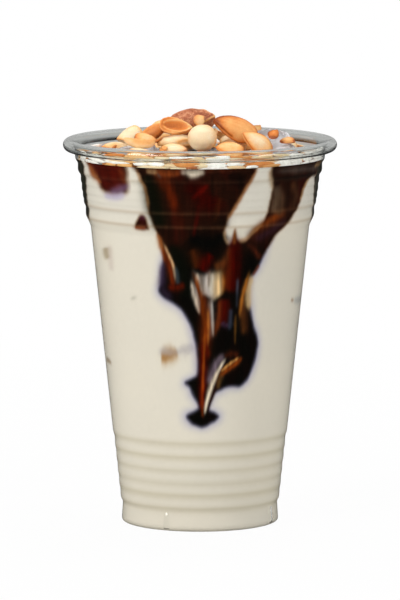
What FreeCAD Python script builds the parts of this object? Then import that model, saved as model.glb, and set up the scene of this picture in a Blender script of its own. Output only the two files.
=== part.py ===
"""Iced coffee in a clear 98 mm cold cup, with coffee running down into the milk and nuts on the ice.

Millimetres, +Z up, origin at the middle of the ring that the cup stands on.
Every size is a named cell of the sheet "Sizes", and what fits or rests on another piece is
worked out from the same cells. The nuts are seated one after another on what lies below them.
"""
import FreeCAD, Part
import Sketcher
import math
import os

SIZES = [
    # the cup as a whole
    ("cup_height", 138.0),
    ("rim_radius", 49.0),
    ("wall", 0.45),
    ("floor_wall", 0.6),
    # the rolled rim
    ("curl_radius", 2.1),
    ("curl_gap", 0.35),
    # the foot and the pushed-up base
    ("foot_radius", 28.15),
    ("foot_height", 7.2),
    ("foot_taper", 0.4),
    ("foot_bevel", 0.6),
    ("push_up", 3.2),
    ("push_radius", 20.0),
    ("ring_width", 3.2),
    # the lugs on the foot
    ("lug_count", 4),
    ("lug_width", 2.4),
    ("lug_depth", 0.55),
    ("lug_start", 65.0),
    # the five grip ribs above the foot
    ("rib_count", 5),
    ("rib_start", 8.5),
    ("rib_pitch", 4.72),
    ("rib_band", 3.45),
    ("rib_inset", 0.15),
    ("rib_step", 0.5),
    # the long taper
    ("taper_start", 32.6),
    ("taper_radius", 31.3),
    ("taper_drop", 31.0),
    ("taper_inset", 5.55),
    # the stacking bands of the shoulder: inset from the neck, drop from the rim, height
    ("band_a_inset", 3.80),
    ("band_a_drop", 27.2),
    ("band_a_tall", 3.2),
    ("band_b_inset", 3.10),
    ("band_b_drop", 22.8),
    ("band_b_tall", 1.5),
    ("band_c_inset", 2.75),
    ("band_c_drop", 20.5),
    ("band_c_tall", 1.7),
    ("band_d_inset", 2.40),
    ("band_d_drop", 18.1),
    ("band_d_tall", 2.4),
    ("band_e_inset", 2.05),
    ("band_e_drop", 15.1),
    ("band_e_tall", 2.4),
    ("band_f_inset", 1.00),
    ("band_f_drop", 11.3),
    ("band_f_tall", 2.9),
    # the neck, whose lower edge is where the drink stands, and the flare above it
    ("neck_inset", 4.3),
    ("neck_drop", 6.9),
    ("neck_tall", 2.5),
    # the drink
    ("coffee_depth", 6.0),
    ("collar_drop", 28.6),
    ("collar_gap_left", 68.0),
    ("collar_gap_right", 71.0),
    ("plume_start", 0.13),
    ("patch_start", 0.34),
    ("layer_depth", 3.0),
    ("layer_inset", 4.0),
    # ice
    ("ice_width", 17.0),
    ("ice_length", 20.0),
    ("ice_height", 16.0),
    ("ice_rounding", 2.6),
    ("ice_taper", 5.0),
    # nuts
    ("almond_length", 16.5),
    ("almond_width", 9.6),
    ("almond_dome", 4.0),
    ("almond_shell", 1.5),
    ("hazel_radius", 5.4),
    ("hazel_dome", 5.2),
    ("nut_dip", 1.2),
    ("nut_clearance", 0.06),
    ("heap_radius", 43.0),
]


def make_sheet(doc):
    """Writes the driving dimensions into the sheet, each cell with its alias."""
    sheet = doc.addObject("Spreadsheet::Sheet", "Sizes")
    for row, (alias, number) in enumerate(SIZES, start=1):
        sheet.set("A%d" % row, alias)
        sheet.set("B%d" % row, str(number))
        sheet.setAlias("B%d" % row, alias)
    doc.recompute()
    return sheet


doc = FreeCAD.newDocument("iced_coffee")
sheet = make_sheet(doc)
nodes = []


def size(alias):
    """The number in a cell of the sheet."""
    return float(sheet.get(alias))


def value(expression):
    """What an expression over the sheet's cells comes to."""
    return float(sheet.evalExpression(expression))


def bind(thing, **expressions):
    """Binds properties of an object to expressions over the sheet."""
    for name, expression in expressions.items():
        thing.setExpression(name, expression)
    return thing


def node(thing, label):
    """Marks an object as a finished sub-part; its label names its file."""
    thing.Label = label
    nodes.append(thing)
    return thing


def plane(body, role):
    """One of a body's own origin planes."""
    return next(f for f in body.Origin.OriginFeatures if f.Role == role)


def place_sketch(body, name, role="XZ_Plane"):
    """An empty sketch on one of the body's origin planes."""
    sketch = body.newObject("Sketcher::SketchObject", name)
    sketch.AttachmentSupport = [(plane(body, role), "")]
    sketch.MapMode = "FlatFace"
    return sketch


def pin_point(sketch, line, across, up):
    """Ties the start of a line to its distance from the axis and its height."""
    for kind, expression, axis in (("DistanceX", across, -2), ("DistanceY", up, -1)):
        if expression == "0":
            sketch.addConstraint(Sketcher.Constraint("PointOnObject", line, 1, axis))
            continue
        rule = Sketcher.Constraint(kind, -1, 1, line, 1, value(expression))
        index = sketch.addConstraint(rule)
        sketch.setExpression("Constraints[%d]" % index, expression)


def draw_outline(sketch, corners):
    """A closed outline of straight edges through corners given as expressions."""
    spots = [FreeCAD.Vector(value(across), value(up), 0) for across, up in corners]
    last = len(spots) - 1
    edges = [Part.LineSegment(spots[i], spots[i + 1 if i < last else 0]) for i in range(last + 1)]
    sketch.addGeometry(edges, False)
    joins = [
        Sketcher.Constraint("Coincident", i, 2, i + 1 if i < last else 0, 1) for i in range(last + 1)
    ]
    sketch.addConstraint(joins)
    for line, (across, up) in enumerate(corners):
        pin_point(sketch, line, across, up)


def revolve(body, sketch, name):
    """Turns a sketch once round the Z axis."""
    feature = body.newObject("PartDesign::Revolution", name)
    feature.Profile = sketch
    feature.ReferenceAxis = (sketch, ["V_Axis"])
    feature.Angle = 360.0
    return feature


# ---------------------------------------------------------------- the cup

NECK = "(Sizes.rim_radius - Sizes.neck_inset)"
NECK_LOW = "(Sizes.cup_height - Sizes.neck_drop)"
CURL_HEIGHT = "(Sizes.cup_height - Sizes.curl_radius)"
CURL_START = "(Sizes.rim_radius - 2 * Sizes.curl_radius + Sizes.wall)"
SHOULDER_BANDS = "abcdef"


def side_corners():
    """Outer corners of the cup's side, from the foot up to the neck's lower edge."""
    corners = [
        ("Sizes.foot_radius", "Sizes.foot_bevel"),
        ("Sizes.foot_radius - Sizes.foot_taper", "Sizes.foot_height"),
    ]
    for rib in range(int(size("rib_count"))):
        low = "Sizes.rib_start + %d * Sizes.rib_pitch" % rib
        radius = "Sizes.foot_radius - Sizes.foot_taper + 0.95 + %d * Sizes.rib_step" % rib
        corners.append((radius + " - Sizes.rib_inset", low))
        corners.append((radius, low + " + Sizes.rib_band"))
    corners.append(("Sizes.taper_radius", "Sizes.taper_start"))
    corners.append((NECK + " - Sizes.taper_inset", "Sizes.cup_height - Sizes.taper_drop"))
    for band in SHOULDER_BANDS:
        radius = "%s - Sizes.band_%s_inset" % (NECK, band)
        top = "Sizes.cup_height - Sizes.band_%s_drop + Sizes.band_%s_tall" % (band, band)
        corners.append((radius, "Sizes.cup_height - Sizes.band_%s_drop" % band))
        corners.append((radius, top))
    corners.append((NECK, NECK_LOW))
    return corners


def base_corners():
    """Outer corners of the base, from the axis out to the ring the cup stands on."""
    return [
        ("0", "Sizes.push_up"),
        ("Sizes.push_radius", "Sizes.push_up"),
        ("Sizes.foot_radius - Sizes.foot_bevel - Sizes.ring_width", "0"),
        ("Sizes.foot_radius - Sizes.foot_bevel", "0"),
    ]


def raised(height):
    """A height over the base, lifted by the floor's wall."""
    return "Sizes.floor_wall" if height == "0" else height + " + Sizes.floor_wall"


def lining():
    """The wet side of the cup, from the axis out along the floor and up to the neck's lower edge."""
    floor = [(across, raised(height)) for across, height in base_corners()]
    floor[-1] = (floor[-1][0] + " - Sizes.wall / 2", floor[-1][1])
    side = [(across + " - Sizes.wall", height) for across, height in side_corners()]
    side[0] = (side[0][0], raised(side[0][1]))
    return floor + side


def make_cup():
    """The thin stepped wall, its rolled rim and the lugs on its foot."""
    body = doc.addObject("PartDesign::Body", "cup")
    wall = place_sketch(body, "wall_section")
    flare = [(NECK, NECK_LOW + " + Sizes.neck_tall"), (CURL_START, CURL_HEIGHT)]
    outside = base_corners() + side_corners() + flare
    inside = lining() + [(across + " - Sizes.wall", height) for across, height in flare]
    draw_outline(wall, outside + inside[::-1])
    revolve(body, wall, "stepped_wall")
    curl = place_sketch(body, "curl_section")
    draw_curl(curl)
    revolve(body, curl, "rolled_rim")
    add_lugs(body)
    return node(body, "cup")


def draw_curl(sketch):
    """The rolled rim in section: a tube bent out and down from the wall, open beside the neck."""
    middle = FreeCAD.Vector(value("Sizes.rim_radius - Sizes.curl_radius"), value(CURL_HEIGHT), 0)
    outer = size("curl_radius")
    hollow = outer - size("wall")
    start = -math.pi + 2 * math.asin(size("curl_gap") / outer) + 0.5
    axis = FreeCAD.Vector(0, 0, 1)
    arcs = [Part.ArcOfCircle(Part.Circle(middle, axis, r), start, math.pi) for r in (outer, hollow)]

    def spot(radius, angle):
        return middle + FreeCAD.Vector(radius * math.cos(angle), radius * math.sin(angle), 0)

    ends = [Part.LineSegment(spot(hollow, a), spot(outer, a)) for a in (start, math.pi)]
    sketch.addGeometry(arcs + ends, False)
    sketch.addConstraint([
        Sketcher.Constraint("Coincident", 0, 3, 1, 3),
        Sketcher.Constraint("Coincident", 2, 1, 1, 1),
        Sketcher.Constraint("Coincident", 2, 2, 0, 1),
        Sketcher.Constraint("Coincident", 3, 1, 1, 2),
        Sketcher.Constraint("Coincident", 3, 2, 0, 2),
        Sketcher.Constraint("Horizontal", 3),
        Sketcher.Constraint("Angle", 2, 1, -1, 1, start),
    ])
    rules = (
        (Sketcher.Constraint("DistanceX", -1, 1, 0, 3, middle.x), "Sizes.rim_radius - Sizes.curl_radius"),
        (Sketcher.Constraint("DistanceY", -1, 1, 0, 3, middle.y), CURL_HEIGHT),
        (Sketcher.Constraint("Radius", 0, outer), "Sizes.curl_radius"),
        (Sketcher.Constraint("Radius", 1, hollow), "Sizes.curl_radius - Sizes.wall"),
    )
    for rule, expression in rules:
        index = sketch.addConstraint(rule)
        sketch.setExpression("Constraints[%d]" % index, expression)


def add_lugs(body):
    """Upright lugs spaced round the foot, which keep stacked cups apart."""
    lug = body.newObject("PartDesign::AdditiveBox", "lug")
    lug.AttachmentSupport = [(plane(body, "XY_Plane"), "")]
    lug.MapMode = "FlatFace"
    bind(
        lug,
        Length="Sizes.lug_depth + Sizes.foot_taper",
        Width="Sizes.lug_width",
        Height="Sizes.foot_height - 2 * Sizes.foot_bevel",
    )
    reach = "(Sizes.foot_radius - Sizes.foot_taper - Sizes.wall / 2)"
    turn = "(Sizes.lug_start * 1 deg)"
    half = "Sizes.lug_width / 2"
    lug.setExpression("AttachmentOffset.Rotation.Angle", turn)
    lug.setExpression("AttachmentOffset.Base.x", "%s * cos%s + %s * sin%s" % (reach, turn, half, turn))
    lug.setExpression("AttachmentOffset.Base.y", "%s * sin%s - %s * cos%s" % (reach, turn, half, turn))
    lug.setExpression("AttachmentOffset.Base.z", "Sizes.foot_bevel")
    ring = body.newObject("PartDesign::PolarPattern", "lug_ring")
    ring.Originals = [lug]
    ring.Axis = (plane(body, "Z_Axis"), [""])
    ring.Angle = 360.0
    ring.setExpression("Occurrences", "Sizes.lug_count")
    body.Tip = ring


cup = make_cup()

# ---------------------------------------------------------------- the drink


def make_fill():
    """Everything wet in the cup, up to the neck's lower edge."""
    body = doc.addObject("PartDesign::Body", "fill")
    section = place_sketch(body, "fill_section")
    draw_outline(section, lining() + [("0", NECK_LOW)])
    revolve(body, section, "fill_turned")
    return body


fill = make_fill()
doc.recompute()

LINING_LOW = "(Sizes.taper_radius - Sizes.wall)"
LINING_HIGH = "(%s - Sizes.wall)" % NECK

# Edges of the coffee on the front wall: azimuth in degrees from the front, share of the drink's height.
PLUME_EDGE = [
    (-32.0, 1.04), (-30.0, 0.975), (-26.0, 0.90), (-22.5, 0.839), (-20.0, 0.778), (-20.4, 0.725),
    (-22.5, 0.667), (-17.0, 0.638), (-10.0, 0.614), (-5.0, 0.580), (-2.6, 0.534), (-1.4, 0.481),
    (-3.2, 0.440), (-8.2, 0.420), (-5.0, 0.389), (-1.8, 0.351), (-8.3, 0.322), (-4.0, 0.298),
    (1.5, 0.291), (7.0, 0.299), (11.8, 0.322), (4.0, 0.346), (6.5, 0.381), (16.0, 0.403),
    (25.0, 0.403), (31.5, 0.437), (35.5, 0.485), (36.0, 0.526), (31.5, 0.570), (26.6, 0.630),
    (27.5, 0.685), (37.5, 0.767), (50.0, 0.839), (58.0, 0.900), (63.0, 0.947), (69.0, 0.966),
    (76.0, 0.975), (84.0, 1.04),
]
MILK_WEDGE_EDGE = [
    (33.6, 1.04), (35.5, 0.965), (38.6, 0.908), (34.0, 0.855), (24.0, 0.810), (16.0, 0.803),
    (12.8, 0.835), (20.0, 0.908), (25.5, 0.970), (29.5, 1.04),
]
PATCH_EDGE = [
    (-66.0, 1.04), (-63.5, 0.968), (-57.0, 0.936), (-47.0, 0.925), (-37.5, 0.935), (-35.0, 1.04),
]


def wall_spot(azimuth, share):
    """A point of the front view, where the wall at this azimuth and height is seen."""
    level = value(NECK_LOW)
    height = share * level
    low, start = value(LINING_LOW), size("taper_start")
    slope = (value(LINING_HIGH) - low) / (level - start)
    radius = low + (height - start) * slope
    return FreeCAD.Vector(radius * math.sin(math.radians(azimuth)), 0, height)


def edge_curve(spots):
    """A smooth curve through points on the front wall."""
    curve = Part.BSplineCurve()
    curve.interpolate([wall_spot(*spot) for spot in spots])
    return curve.toShape()


def front_face(*edges):
    """A flat face bounded by smooth edges that straight lines join above the drink."""
    curves = [edge_curve(spots) for spots in edges]
    pieces = []
    for index, spots in enumerate(edges):
        following = edges[(index + 1) % len(edges)]
        pieces.append(curves[index])
        pieces.append(Part.makeLine(wall_spot(*spots[-1]), wall_spot(*following[0])))
    return Part.Face(Part.Wire(pieces))


def sheet_to_front(name, face, start):
    """Carries a flat face forwards past the wall; start names the share of the rim's radius it starts at."""
    outline = doc.addObject("Part::Feature", name + "_outline")
    outline.Shape = face
    extrusion = doc.addObject("Part::Extrusion", name)
    extrusion.Base = outline
    extrusion.DirMode = "Custom"
    extrusion.Dir = FreeCAD.Vector(0, -1, 0)
    extrusion.Solid = True
    bind(extrusion, LengthFwd="Sizes.rim_radius")
    extrusion.setExpression("Placement.Base.y", "-Sizes.rim_radius * Sizes." + start)
    return extrusion


def make_coffee_reach():
    """Where coffee stands: the front plume and patch, a collar round the back, a layer on top."""
    plume = sheet_to_front("plume", front_face(PLUME_EDGE, MILK_WEDGE_EDGE), "plume_start")
    patch = sheet_to_front("patch", front_face(PATCH_EDGE), "patch_start")
    collar = doc.addObject("Part::Cylinder", "collar")
    bind(
        collar,
        Radius="Sizes.rim_radius",
        Height="Sizes.collar_drop",
        Angle="360 - Sizes.collar_gap_left - Sizes.collar_gap_right",
    )
    collar.setExpression("Placement.Base.z", "Sizes.cup_height - Sizes.collar_drop")
    collar.setExpression("Placement.Rotation.Angle", "(Sizes.collar_gap_right - 90) * 1 deg")
    core = doc.addObject("Part::Cone", "core")
    bind(
        core,
        Radius1=LINING_LOW + " - Sizes.coffee_depth",
        Radius2=LINING_HIGH + " - Sizes.coffee_depth",
        Height="Sizes.cup_height - Sizes.taper_start",
    )
    core.setExpression("Placement.Base.z", "Sizes.taper_start")
    layer = doc.addObject("Part::Cylinder", "layer")
    bind(layer, Radius=LINING_HIGH + " - Sizes.layer_inset", Height="Sizes.layer_depth")
    layer.setExpression("Placement.Base.z", NECK_LOW + " - Sizes.layer_depth")
    at_wall = doc.addObject("Part::MultiFuse", "coffee_at_wall")
    at_wall.Shapes = [plume, patch, collar]
    hollow = doc.addObject("Part::Cut", "coffee_hollowed")
    hollow.Base = at_wall
    hollow.Tool = core
    reach = doc.addObject("Part::MultiFuse", "coffee_reach")
    reach.Shapes = [hollow, layer]
    return reach


coffee_reach = make_coffee_reach()

# ---------------------------------------------------------------- ice

# Cubes that stand out of the drink: x, y, turn, lean, side lean, height of the middle over it, size grade.
ICE_CUBES = [
    (-1.5, -11.5, 8.0, 6.0, -5.0, -4.8, 1.00),
    (-23.5, -3.0, -70.0, -9.0, 7.0, -3.2, 1.00),
    (25.5, -2.5, 38.0, 14.0, -16.0, 4.6, 0.68),
    (2.5, 9.5, 30.0, -6.0, 4.0, -5.2, 1.00),
    (-15.0, 21.5, 10.0, 7.0, 6.0, -7.2, 1.00),
    (21.5, 18.5, 55.0, -6.0, -6.0, -6.0, 1.00),
    (30.5, -12.5, 20.0, -12.0, 20.0, 1.6, 0.50),
]


def make_ice(number, x, y, turn, lean, side_lean, rise, grade):
    """One ice cube with softened edges, wider at one end as it left its tray."""
    body = doc.addObject("PartDesign::Body", "ice_body_%d" % number)
    section = place_sketch(body, "ice_section_%d" % number, "XY_Plane")
    draw_rectangle(section, "%g * Sizes.ice_length / 2" % grade, "%g * Sizes.ice_width / 2" % grade)
    block = body.newObject("PartDesign::Pad", "ice_block_%d" % number)
    block.Profile = section
    bind(block, Length="%g * Sizes.ice_height" % grade, TaperAngle="-Sizes.ice_taper")
    doc.recompute()
    rounding = body.newObject("PartDesign::Fillet", "ice_rounding_%d" % number)
    rounding.Base = (block, [""])
    rounding.UseAllEdges = True
    bind(rounding, Radius="Sizes.ice_rounding")
    doc.recompute()
    middle = FreeCAD.Placement(FreeCAD.Vector(0, 0, -grade * size("ice_height") / 2), FreeCAD.Rotation())
    pose = FreeCAD.Placement(
        FreeCAD.Vector(x, y, value(NECK_LOW) + rise),
        FreeCAD.Rotation(turn, lean, side_lean),
    )
    body.Placement = pose.multiply(middle)
    return node(body, "ice_%d" % number)


def draw_rectangle(sketch, half_length, half_width):
    """A rectangle about the origin, tied to its two half sizes."""
    long_half, short_half = value(half_length), value(half_width)
    corners = [(-long_half, -short_half), (long_half, -short_half), (long_half, short_half), (-long_half, short_half)]
    spots = [FreeCAD.Vector(x, y, 0) for x, y in corners]
    sketch.addGeometry([Part.LineSegment(spots[i], spots[(i + 1) % 4]) for i in range(4)], False)
    sketch.addConstraint(
        [Sketcher.Constraint("Coincident", i, 2, (i + 1) % 4, 1) for i in range(4)]
        + [Sketcher.Constraint("Horizontal", 0), Sketcher.Constraint("Horizontal", 2)]
        + [Sketcher.Constraint("Vertical", 1), Sketcher.Constraint("Vertical", 3)]
        + [Sketcher.Constraint("Symmetric", 0, 1, 2, 1, -1, 1)]
    )
    for kind, line, number, expression in (
        ("DistanceX", 0, 2 * long_half, "2 * " + half_length),
        ("DistanceY", 1, 2 * short_half, "2 * " + half_width),
    ):
        index = sketch.addConstraint(Sketcher.Constraint(kind, line, 1, line, 2, number))
        sketch.setExpression("Constraints[%d]" % index, expression)


ice = [make_ice(number, *cube) for number, cube in enumerate(ICE_CUBES, start=1)]
doc.recompute()

# ---------------------------------------------------------------- nuts


class HeapTop:
    """How high the drink, the ice and the nuts laid so far reach, on a fine square grid."""

    CELL = 0.5
    SAMPLE = 0.4

    def __init__(self, floor):
        self.floor = floor
        self.top = {}

    def samples(self, shape):
        """Points spread evenly over a shape's surface."""
        points, triangles = shape.tessellate(0.15)
        for corners in triangles:
            a, b, c = (points[i] for i in corners)
            steps = int(math.ceil(max(a.distanceToPoint(b), b.distanceToPoint(c), c.distanceToPoint(a)) / self.SAMPLE))
            steps = max(steps, 1)
            for i in range(steps + 1):
                for j in range(steps + 1 - i):
                    yield a + (b - a) * (i / steps) + (c - a) * (j / steps)

    def cell(self, x, y):
        """The grid cell that holds a place."""
        return (round(x / self.CELL), round(y / self.CELL))

    def height(self, x, y):
        """The top of the heap at a place."""
        return self.top.get(self.cell(x, y), self.floor)

    def add(self, shape):
        """Lays a shape that is already in its place onto the heap."""
        for point in self.samples(shape):
            cell = self.cell(point.x, point.y)
            self.top[cell] = max(self.top.get(cell, self.floor), point.z)

    def gap_under(self, shape):
        """How far a shape can come straight down before it touches the heap."""
        return min(point.z - self.height(point.x, point.y) for point in self.samples(shape))


def draw_almond(sketch, length, width):
    """An almond seen from above: a round end, and two long arcs that meet in a tip."""
    half_length, half_width = value(length) / 2, value(width) / 2
    middle = half_width - half_length
    run = half_length - middle
    side_radius = (run ** 2 + half_width ** 2) / (2 * half_width)
    rise = side_radius - half_width
    axis = FreeCAD.Vector(0, 0, 1)
    sweep = math.atan2(rise, run)
    low_centre = FreeCAD.Vector(middle, rise, 0)
    high_centre = FreeCAD.Vector(middle, -rise, 0)
    quarter = math.pi / 2
    sketch.addGeometry([
        Part.ArcOfCircle(Part.Circle(FreeCAD.Vector(middle, 0, 0), axis, half_width), quarter, 3 * quarter),
        Part.ArcOfCircle(Part.Circle(low_centre, axis, side_radius), 3 * quarter, 4 * quarter - sweep),
        Part.ArcOfCircle(Part.Circle(high_centre, axis, side_radius), sweep, quarter),
    ], False)
    sketch.addConstraint([
        Sketcher.Constraint("PointOnObject", 0, 3, -1),
        Sketcher.Constraint("Tangent", 0, 2, 1, 1),
        Sketcher.Constraint("Tangent", 2, 2, 0, 1),
        Sketcher.Constraint("Coincident", 1, 2, 2, 1),
        Sketcher.Constraint("PointOnObject", 1, 2, -1),
        Sketcher.Constraint("Vertical", 0, 3, 1, 3),
    ])
    for rule, expression in (
        (Sketcher.Constraint("Radius", 0, half_width), "%s / 2" % width),
        (Sketcher.Constraint("DistanceX", 0, 3, -1, 1, -middle), "(%s - %s) / 2" % (length, width)),
        (Sketcher.Constraint("DistanceX", -1, 1, 1, 2, half_length), "%s / 2" % length),
    ):
        index = sketch.addConstraint(rule)
        sketch.setExpression("Constraints[%d]" % index, expression)


def ellipsoid(name, tall, long, wide, upper_half=False):
    """An ellipsoid about the origin whose half sizes are expressions, its seam at the blunt end."""
    body = doc.addObject("Part::Ellipsoid", name)
    body.Placement.Rotation = FreeCAD.Rotation(180, 0, 0)
    bind(body, Radius1=tall, Radius2=long, Radius3=wide)
    if upper_half:
        body.Angle1 = 0
    return body


def boolean(kind, name, base, tool):
    """A cut or a common part of two objects."""
    result = doc.addObject("Part::" + kind, name)
    result.Base = base
    result.Tool = tool
    return result


def almond(label, grade):
    """A split almond, flat below and domed above."""
    length = "(Sizes.almond_length * %g)" % grade
    width = "(Sizes.almond_width * %g)" % grade
    dome = "(Sizes.almond_dome * %g)" % grade
    sketch = doc.addObject("Sketcher::SketchObject", label + "_outline")
    draw_almond(sketch, length, width)
    prism = doc.addObject("Part::Extrusion", label + "_prism")
    prism.Base = sketch
    prism.DirMode = "Custom"
    prism.Dir = FreeCAD.Vector(0, 0, 1)
    prism.Solid = True
    bind(prism, LengthFwd=dome)
    bulge = ellipsoid(label + "_bulge", dome, length + " * 0.56", width + " * 0.53")
    return boolean("Common", label, prism, bulge)


def whole_almond(label, grade):
    """An almond in its skin: two halves laid flat side to flat side."""
    upper = almond(label + "_upper", grade)
    lower = almond(label + "_lower", grade)
    lower.Placement.Rotation = FreeCAD.Rotation(FreeCAD.Vector(1, 0, 0), 180)
    return boolean("Fuse", label, upper, lower)


def cupped_almond(label, grade):
    """A split almond whose flat side is hollowed, with an even shell."""
    length = "(Sizes.almond_length * %g / 2 - Sizes.almond_shell)" % grade
    width = "(Sizes.almond_width * %g / 2 - Sizes.almond_shell)" % grade
    dome = "(Sizes.almond_dome * %g - Sizes.almond_shell)" % grade
    half = almond(label + "_half", grade)
    hollow = ellipsoid(label + "_hollow", dome, length, width)
    return boolean("Cut", label, half, hollow)


def broken_almond(label, grade):
    """The blunt end of a split almond, snapped off on a slant."""
    half = almond(label + "_half", grade)
    lost = doc.addObject("Part::Box", label + "_lost")
    bind(
        lost,
        Length="Sizes.almond_length",
        Width="3 * Sizes.almond_width",
        Height="4 * Sizes.almond_dome",
    )
    turn = FreeCAD.Rotation(18, -12, 0)
    corner = FreeCAD.Vector(0.02 * size("almond_length"), -1.5 * size("almond_width"), -2 * size("almond_dome"))
    lost.Placement = FreeCAD.Placement(turn.multVec(corner), turn)
    return boolean("Cut", label, half, lost)


def sliver(label, grade):
    """A thin curved slice: what is left of an almond shape when a shifted one is taken away."""
    length = "(Sizes.almond_length * %g * 0.5)" % grade
    width = "(Sizes.almond_width * %g * 0.42)" % grade
    dome = "(Sizes.almond_dome * %g * 0.75)" % grade
    whole = ellipsoid(label + "_whole", dome, length, width)
    taken = ellipsoid(label + "_taken", dome + " * 1.3", length + " * 1.1", width)
    taken.setExpression("Placement.Base.y", width + " * 0.75")
    return boolean("Cut", label, whole, taken)


def hazel_half(label, grade):
    """Half a blanched hazelnut, flat below."""
    radius = "(Sizes.hazel_radius * %g)" % grade
    dome = "(Sizes.hazel_dome * %g)" % grade
    return ellipsoid(label, dome, radius, radius + " * 0.95", upper_half=True)


NUT_KINDS = {
    "half": almond,
    "whole": whole_almond,
    "cup": cupped_almond,
    "chunk": broken_almond,
    "sliver": sliver,
    "hazel": hazel_half,
}

# Nuts in the order they fell: how each lies, kind, x, y, turn, roll, pitch, size grade.
# A laid nut follows the slope of what is below it. A propped one is turned flat, tipped towards
# the front by its roll and then tilted to the right by its pitch.
NUTS = [
    # on the drink, along the front wall
    ("laid", "half", -28.0, -27.0, -46.0, 6.0, 0.0, 1.00),
    ("laid", "chunk", -15.0, -35.5, -20.0, 172.0, 4.0, 1.05),
    ("laid", "cup", -2.0, -38.0, 2.0, 0.0, 0.0, 0.95),
    ("laid", "hazel", 12.0, -36.0, 0.0, 10.0, 5.0, 0.95),
    ("laid", "half", 24.5, -29.5, 50.0, -6.0, 3.0, 0.95),
    # on the drink, along the back wall
    ("laid", "half", 25.5, 31.5, 135.0, 8.0, 0.0, 0.95),
    ("laid", "hazel", 12.5, 36.5, 0.0, 0.0, 0.0, 1.00),
    ("laid", "half", -1.5, 38.0, 2.0, 176.0, 0.0, 0.95),
    ("laid", "chunk", -15.5, 38.0, 20.0, 0.0, 0.0, 1.05),
    ("laid", "cup", -32.5, 26.0, 52.0, 0.0, 5.0, 0.95),
    # between the walls and the ice
    ("laid", "chunk", -2.0, -28.5, 10.0, 0.0, 0.0, 0.90),
    ("laid", "half", -19.5, -22.5, 35.0, 0.0, 0.0, 0.90),
    ("laid", "half", 9.5, -26.5, -6.0, 174.0, 0.0, 0.95),
    ("laid", "half", 17.0, -17.5, -35.0, 0.0, 0.0, 1.00),
    ("laid", "half", 15.0, 27.0, 20.0, 178.0, 0.0, 0.95),
    ("laid", "whole", -3.0, 27.5, -12.0, 0.0, 0.0, 0.95),
    ("laid", "chunk", 31.0, 19.5, 75.0, 0.0, 0.0, 0.90),
    ("laid", "hazel", -22.0, 15.0, 0.0, 0.0, 0.0, 0.90),
    # the middle of the heap, over the ice
    ("propped", "half", -8.0, -7.0, 8.0, 0.0, 0.0, 0.90),
    ("propped", "half", 12.0, -7.0, 60.0, 14.0, 10.0, 0.95),
    ("laid", "half", -2.0, 5.5, 10.0, 180.0, 0.0, 1.05),
    ("laid", "half", -15.5, 10.0, 30.0, 0.0, 0.0, 0.90),
    ("laid", "half", 12.5, 12.5, -30.0, 180.0, 0.0, 1.00),
    ("laid", "half", -12.5, 20.5, 65.0, 0.0, 0.0, 0.95),
    # what shows over the front of the rim
    ("propped", "whole", -2.6, 5.4, 0.0, 44.0, -6.0, 1.02),
    ("propped", "half", -9.4, -19.2, 0.0, 56.0, -4.0, 0.62),
    ("propped", "sliver", -21.4, -20.2, 0.0, 66.0, 8.0, 0.70),
    ("propped", "half", 10.6, -21.6, 180.0, 50.0, 6.0, 0.62),
    ("propped", "hazel", 0.9, -12.6, 0.0, 66.0, 0.0, 0.98),
    ("propped", "chunk", -25.8, -10.0, 180.0, 60.0, -52.0, 0.90),
    ("propped", "half", -19.2, -15.5, 0.0, 55.0, 12.0, 0.52),
    ("propped", "half", 12.2, -7.6, 180.0, 52.0, 20.0, 1.02),
    ("propped", "half", 20.0, -15.6, 180.0, 64.0, 33.0, 0.78),
    ("propped", "cup", -8.4, -6.5, 0.0, -128.0, 6.0, 0.74),
    ("propped", "half", -16.2, 1.4, 0.0, 52.0, -26.0, 0.66),
    ("propped", "chunk", 1.2, 0.4, 0.0, 60.0, 30.0, 0.50),
    ("propped", "chunk", 11.6, 6.5, 0.0, 70.0, 0.0, 0.56),
    ("propped", "chunk", 26.0, -13.2, 90.0, 40.0, 0.0, 0.44),
    ("propped", "chunk", 32.2, -10.5, 30.0, 10.0, 0.0, 0.50),
]
STEEPEST_LEAN = 24.0


def lean_on(top, x, y, turn, reach, breadth):
    """The rotation that lays a nut along the slope of the heap below it."""
    along = FreeCAD.Vector(math.cos(math.radians(turn)), math.sin(math.radians(turn)), 0)
    across = FreeCAD.Vector(-along.y, along.x, 0)
    limit = math.tan(math.radians(STEEPEST_LEAN))

    def slope(way, arm):
        rise = top.height(x + way.x * arm, y + way.y * arm) - top.height(x - way.x * arm, y - way.y * arm)
        return max(-limit, min(limit, rise / (2 * arm)))

    along.z = slope(along, reach)
    across.z = slope(across, breadth)
    normal = along.cross(across).normalize()
    along.normalize()
    return FreeCAD.Rotation(along, normal.cross(along), normal, "ZXY")


def keep_inside(shape, x, y):
    """How far a nut must move towards the axis to stay clear of the neck."""
    widest = max(math.hypot(p.x, p.y) for p in shape.tessellate(0.3)[0])
    excess = max(0.0, widest - size("heap_radius"))
    distance = math.hypot(x, y)
    return FreeCAD.Vector(-x, -y, 0) * (excess / distance if distance else 0)


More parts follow.
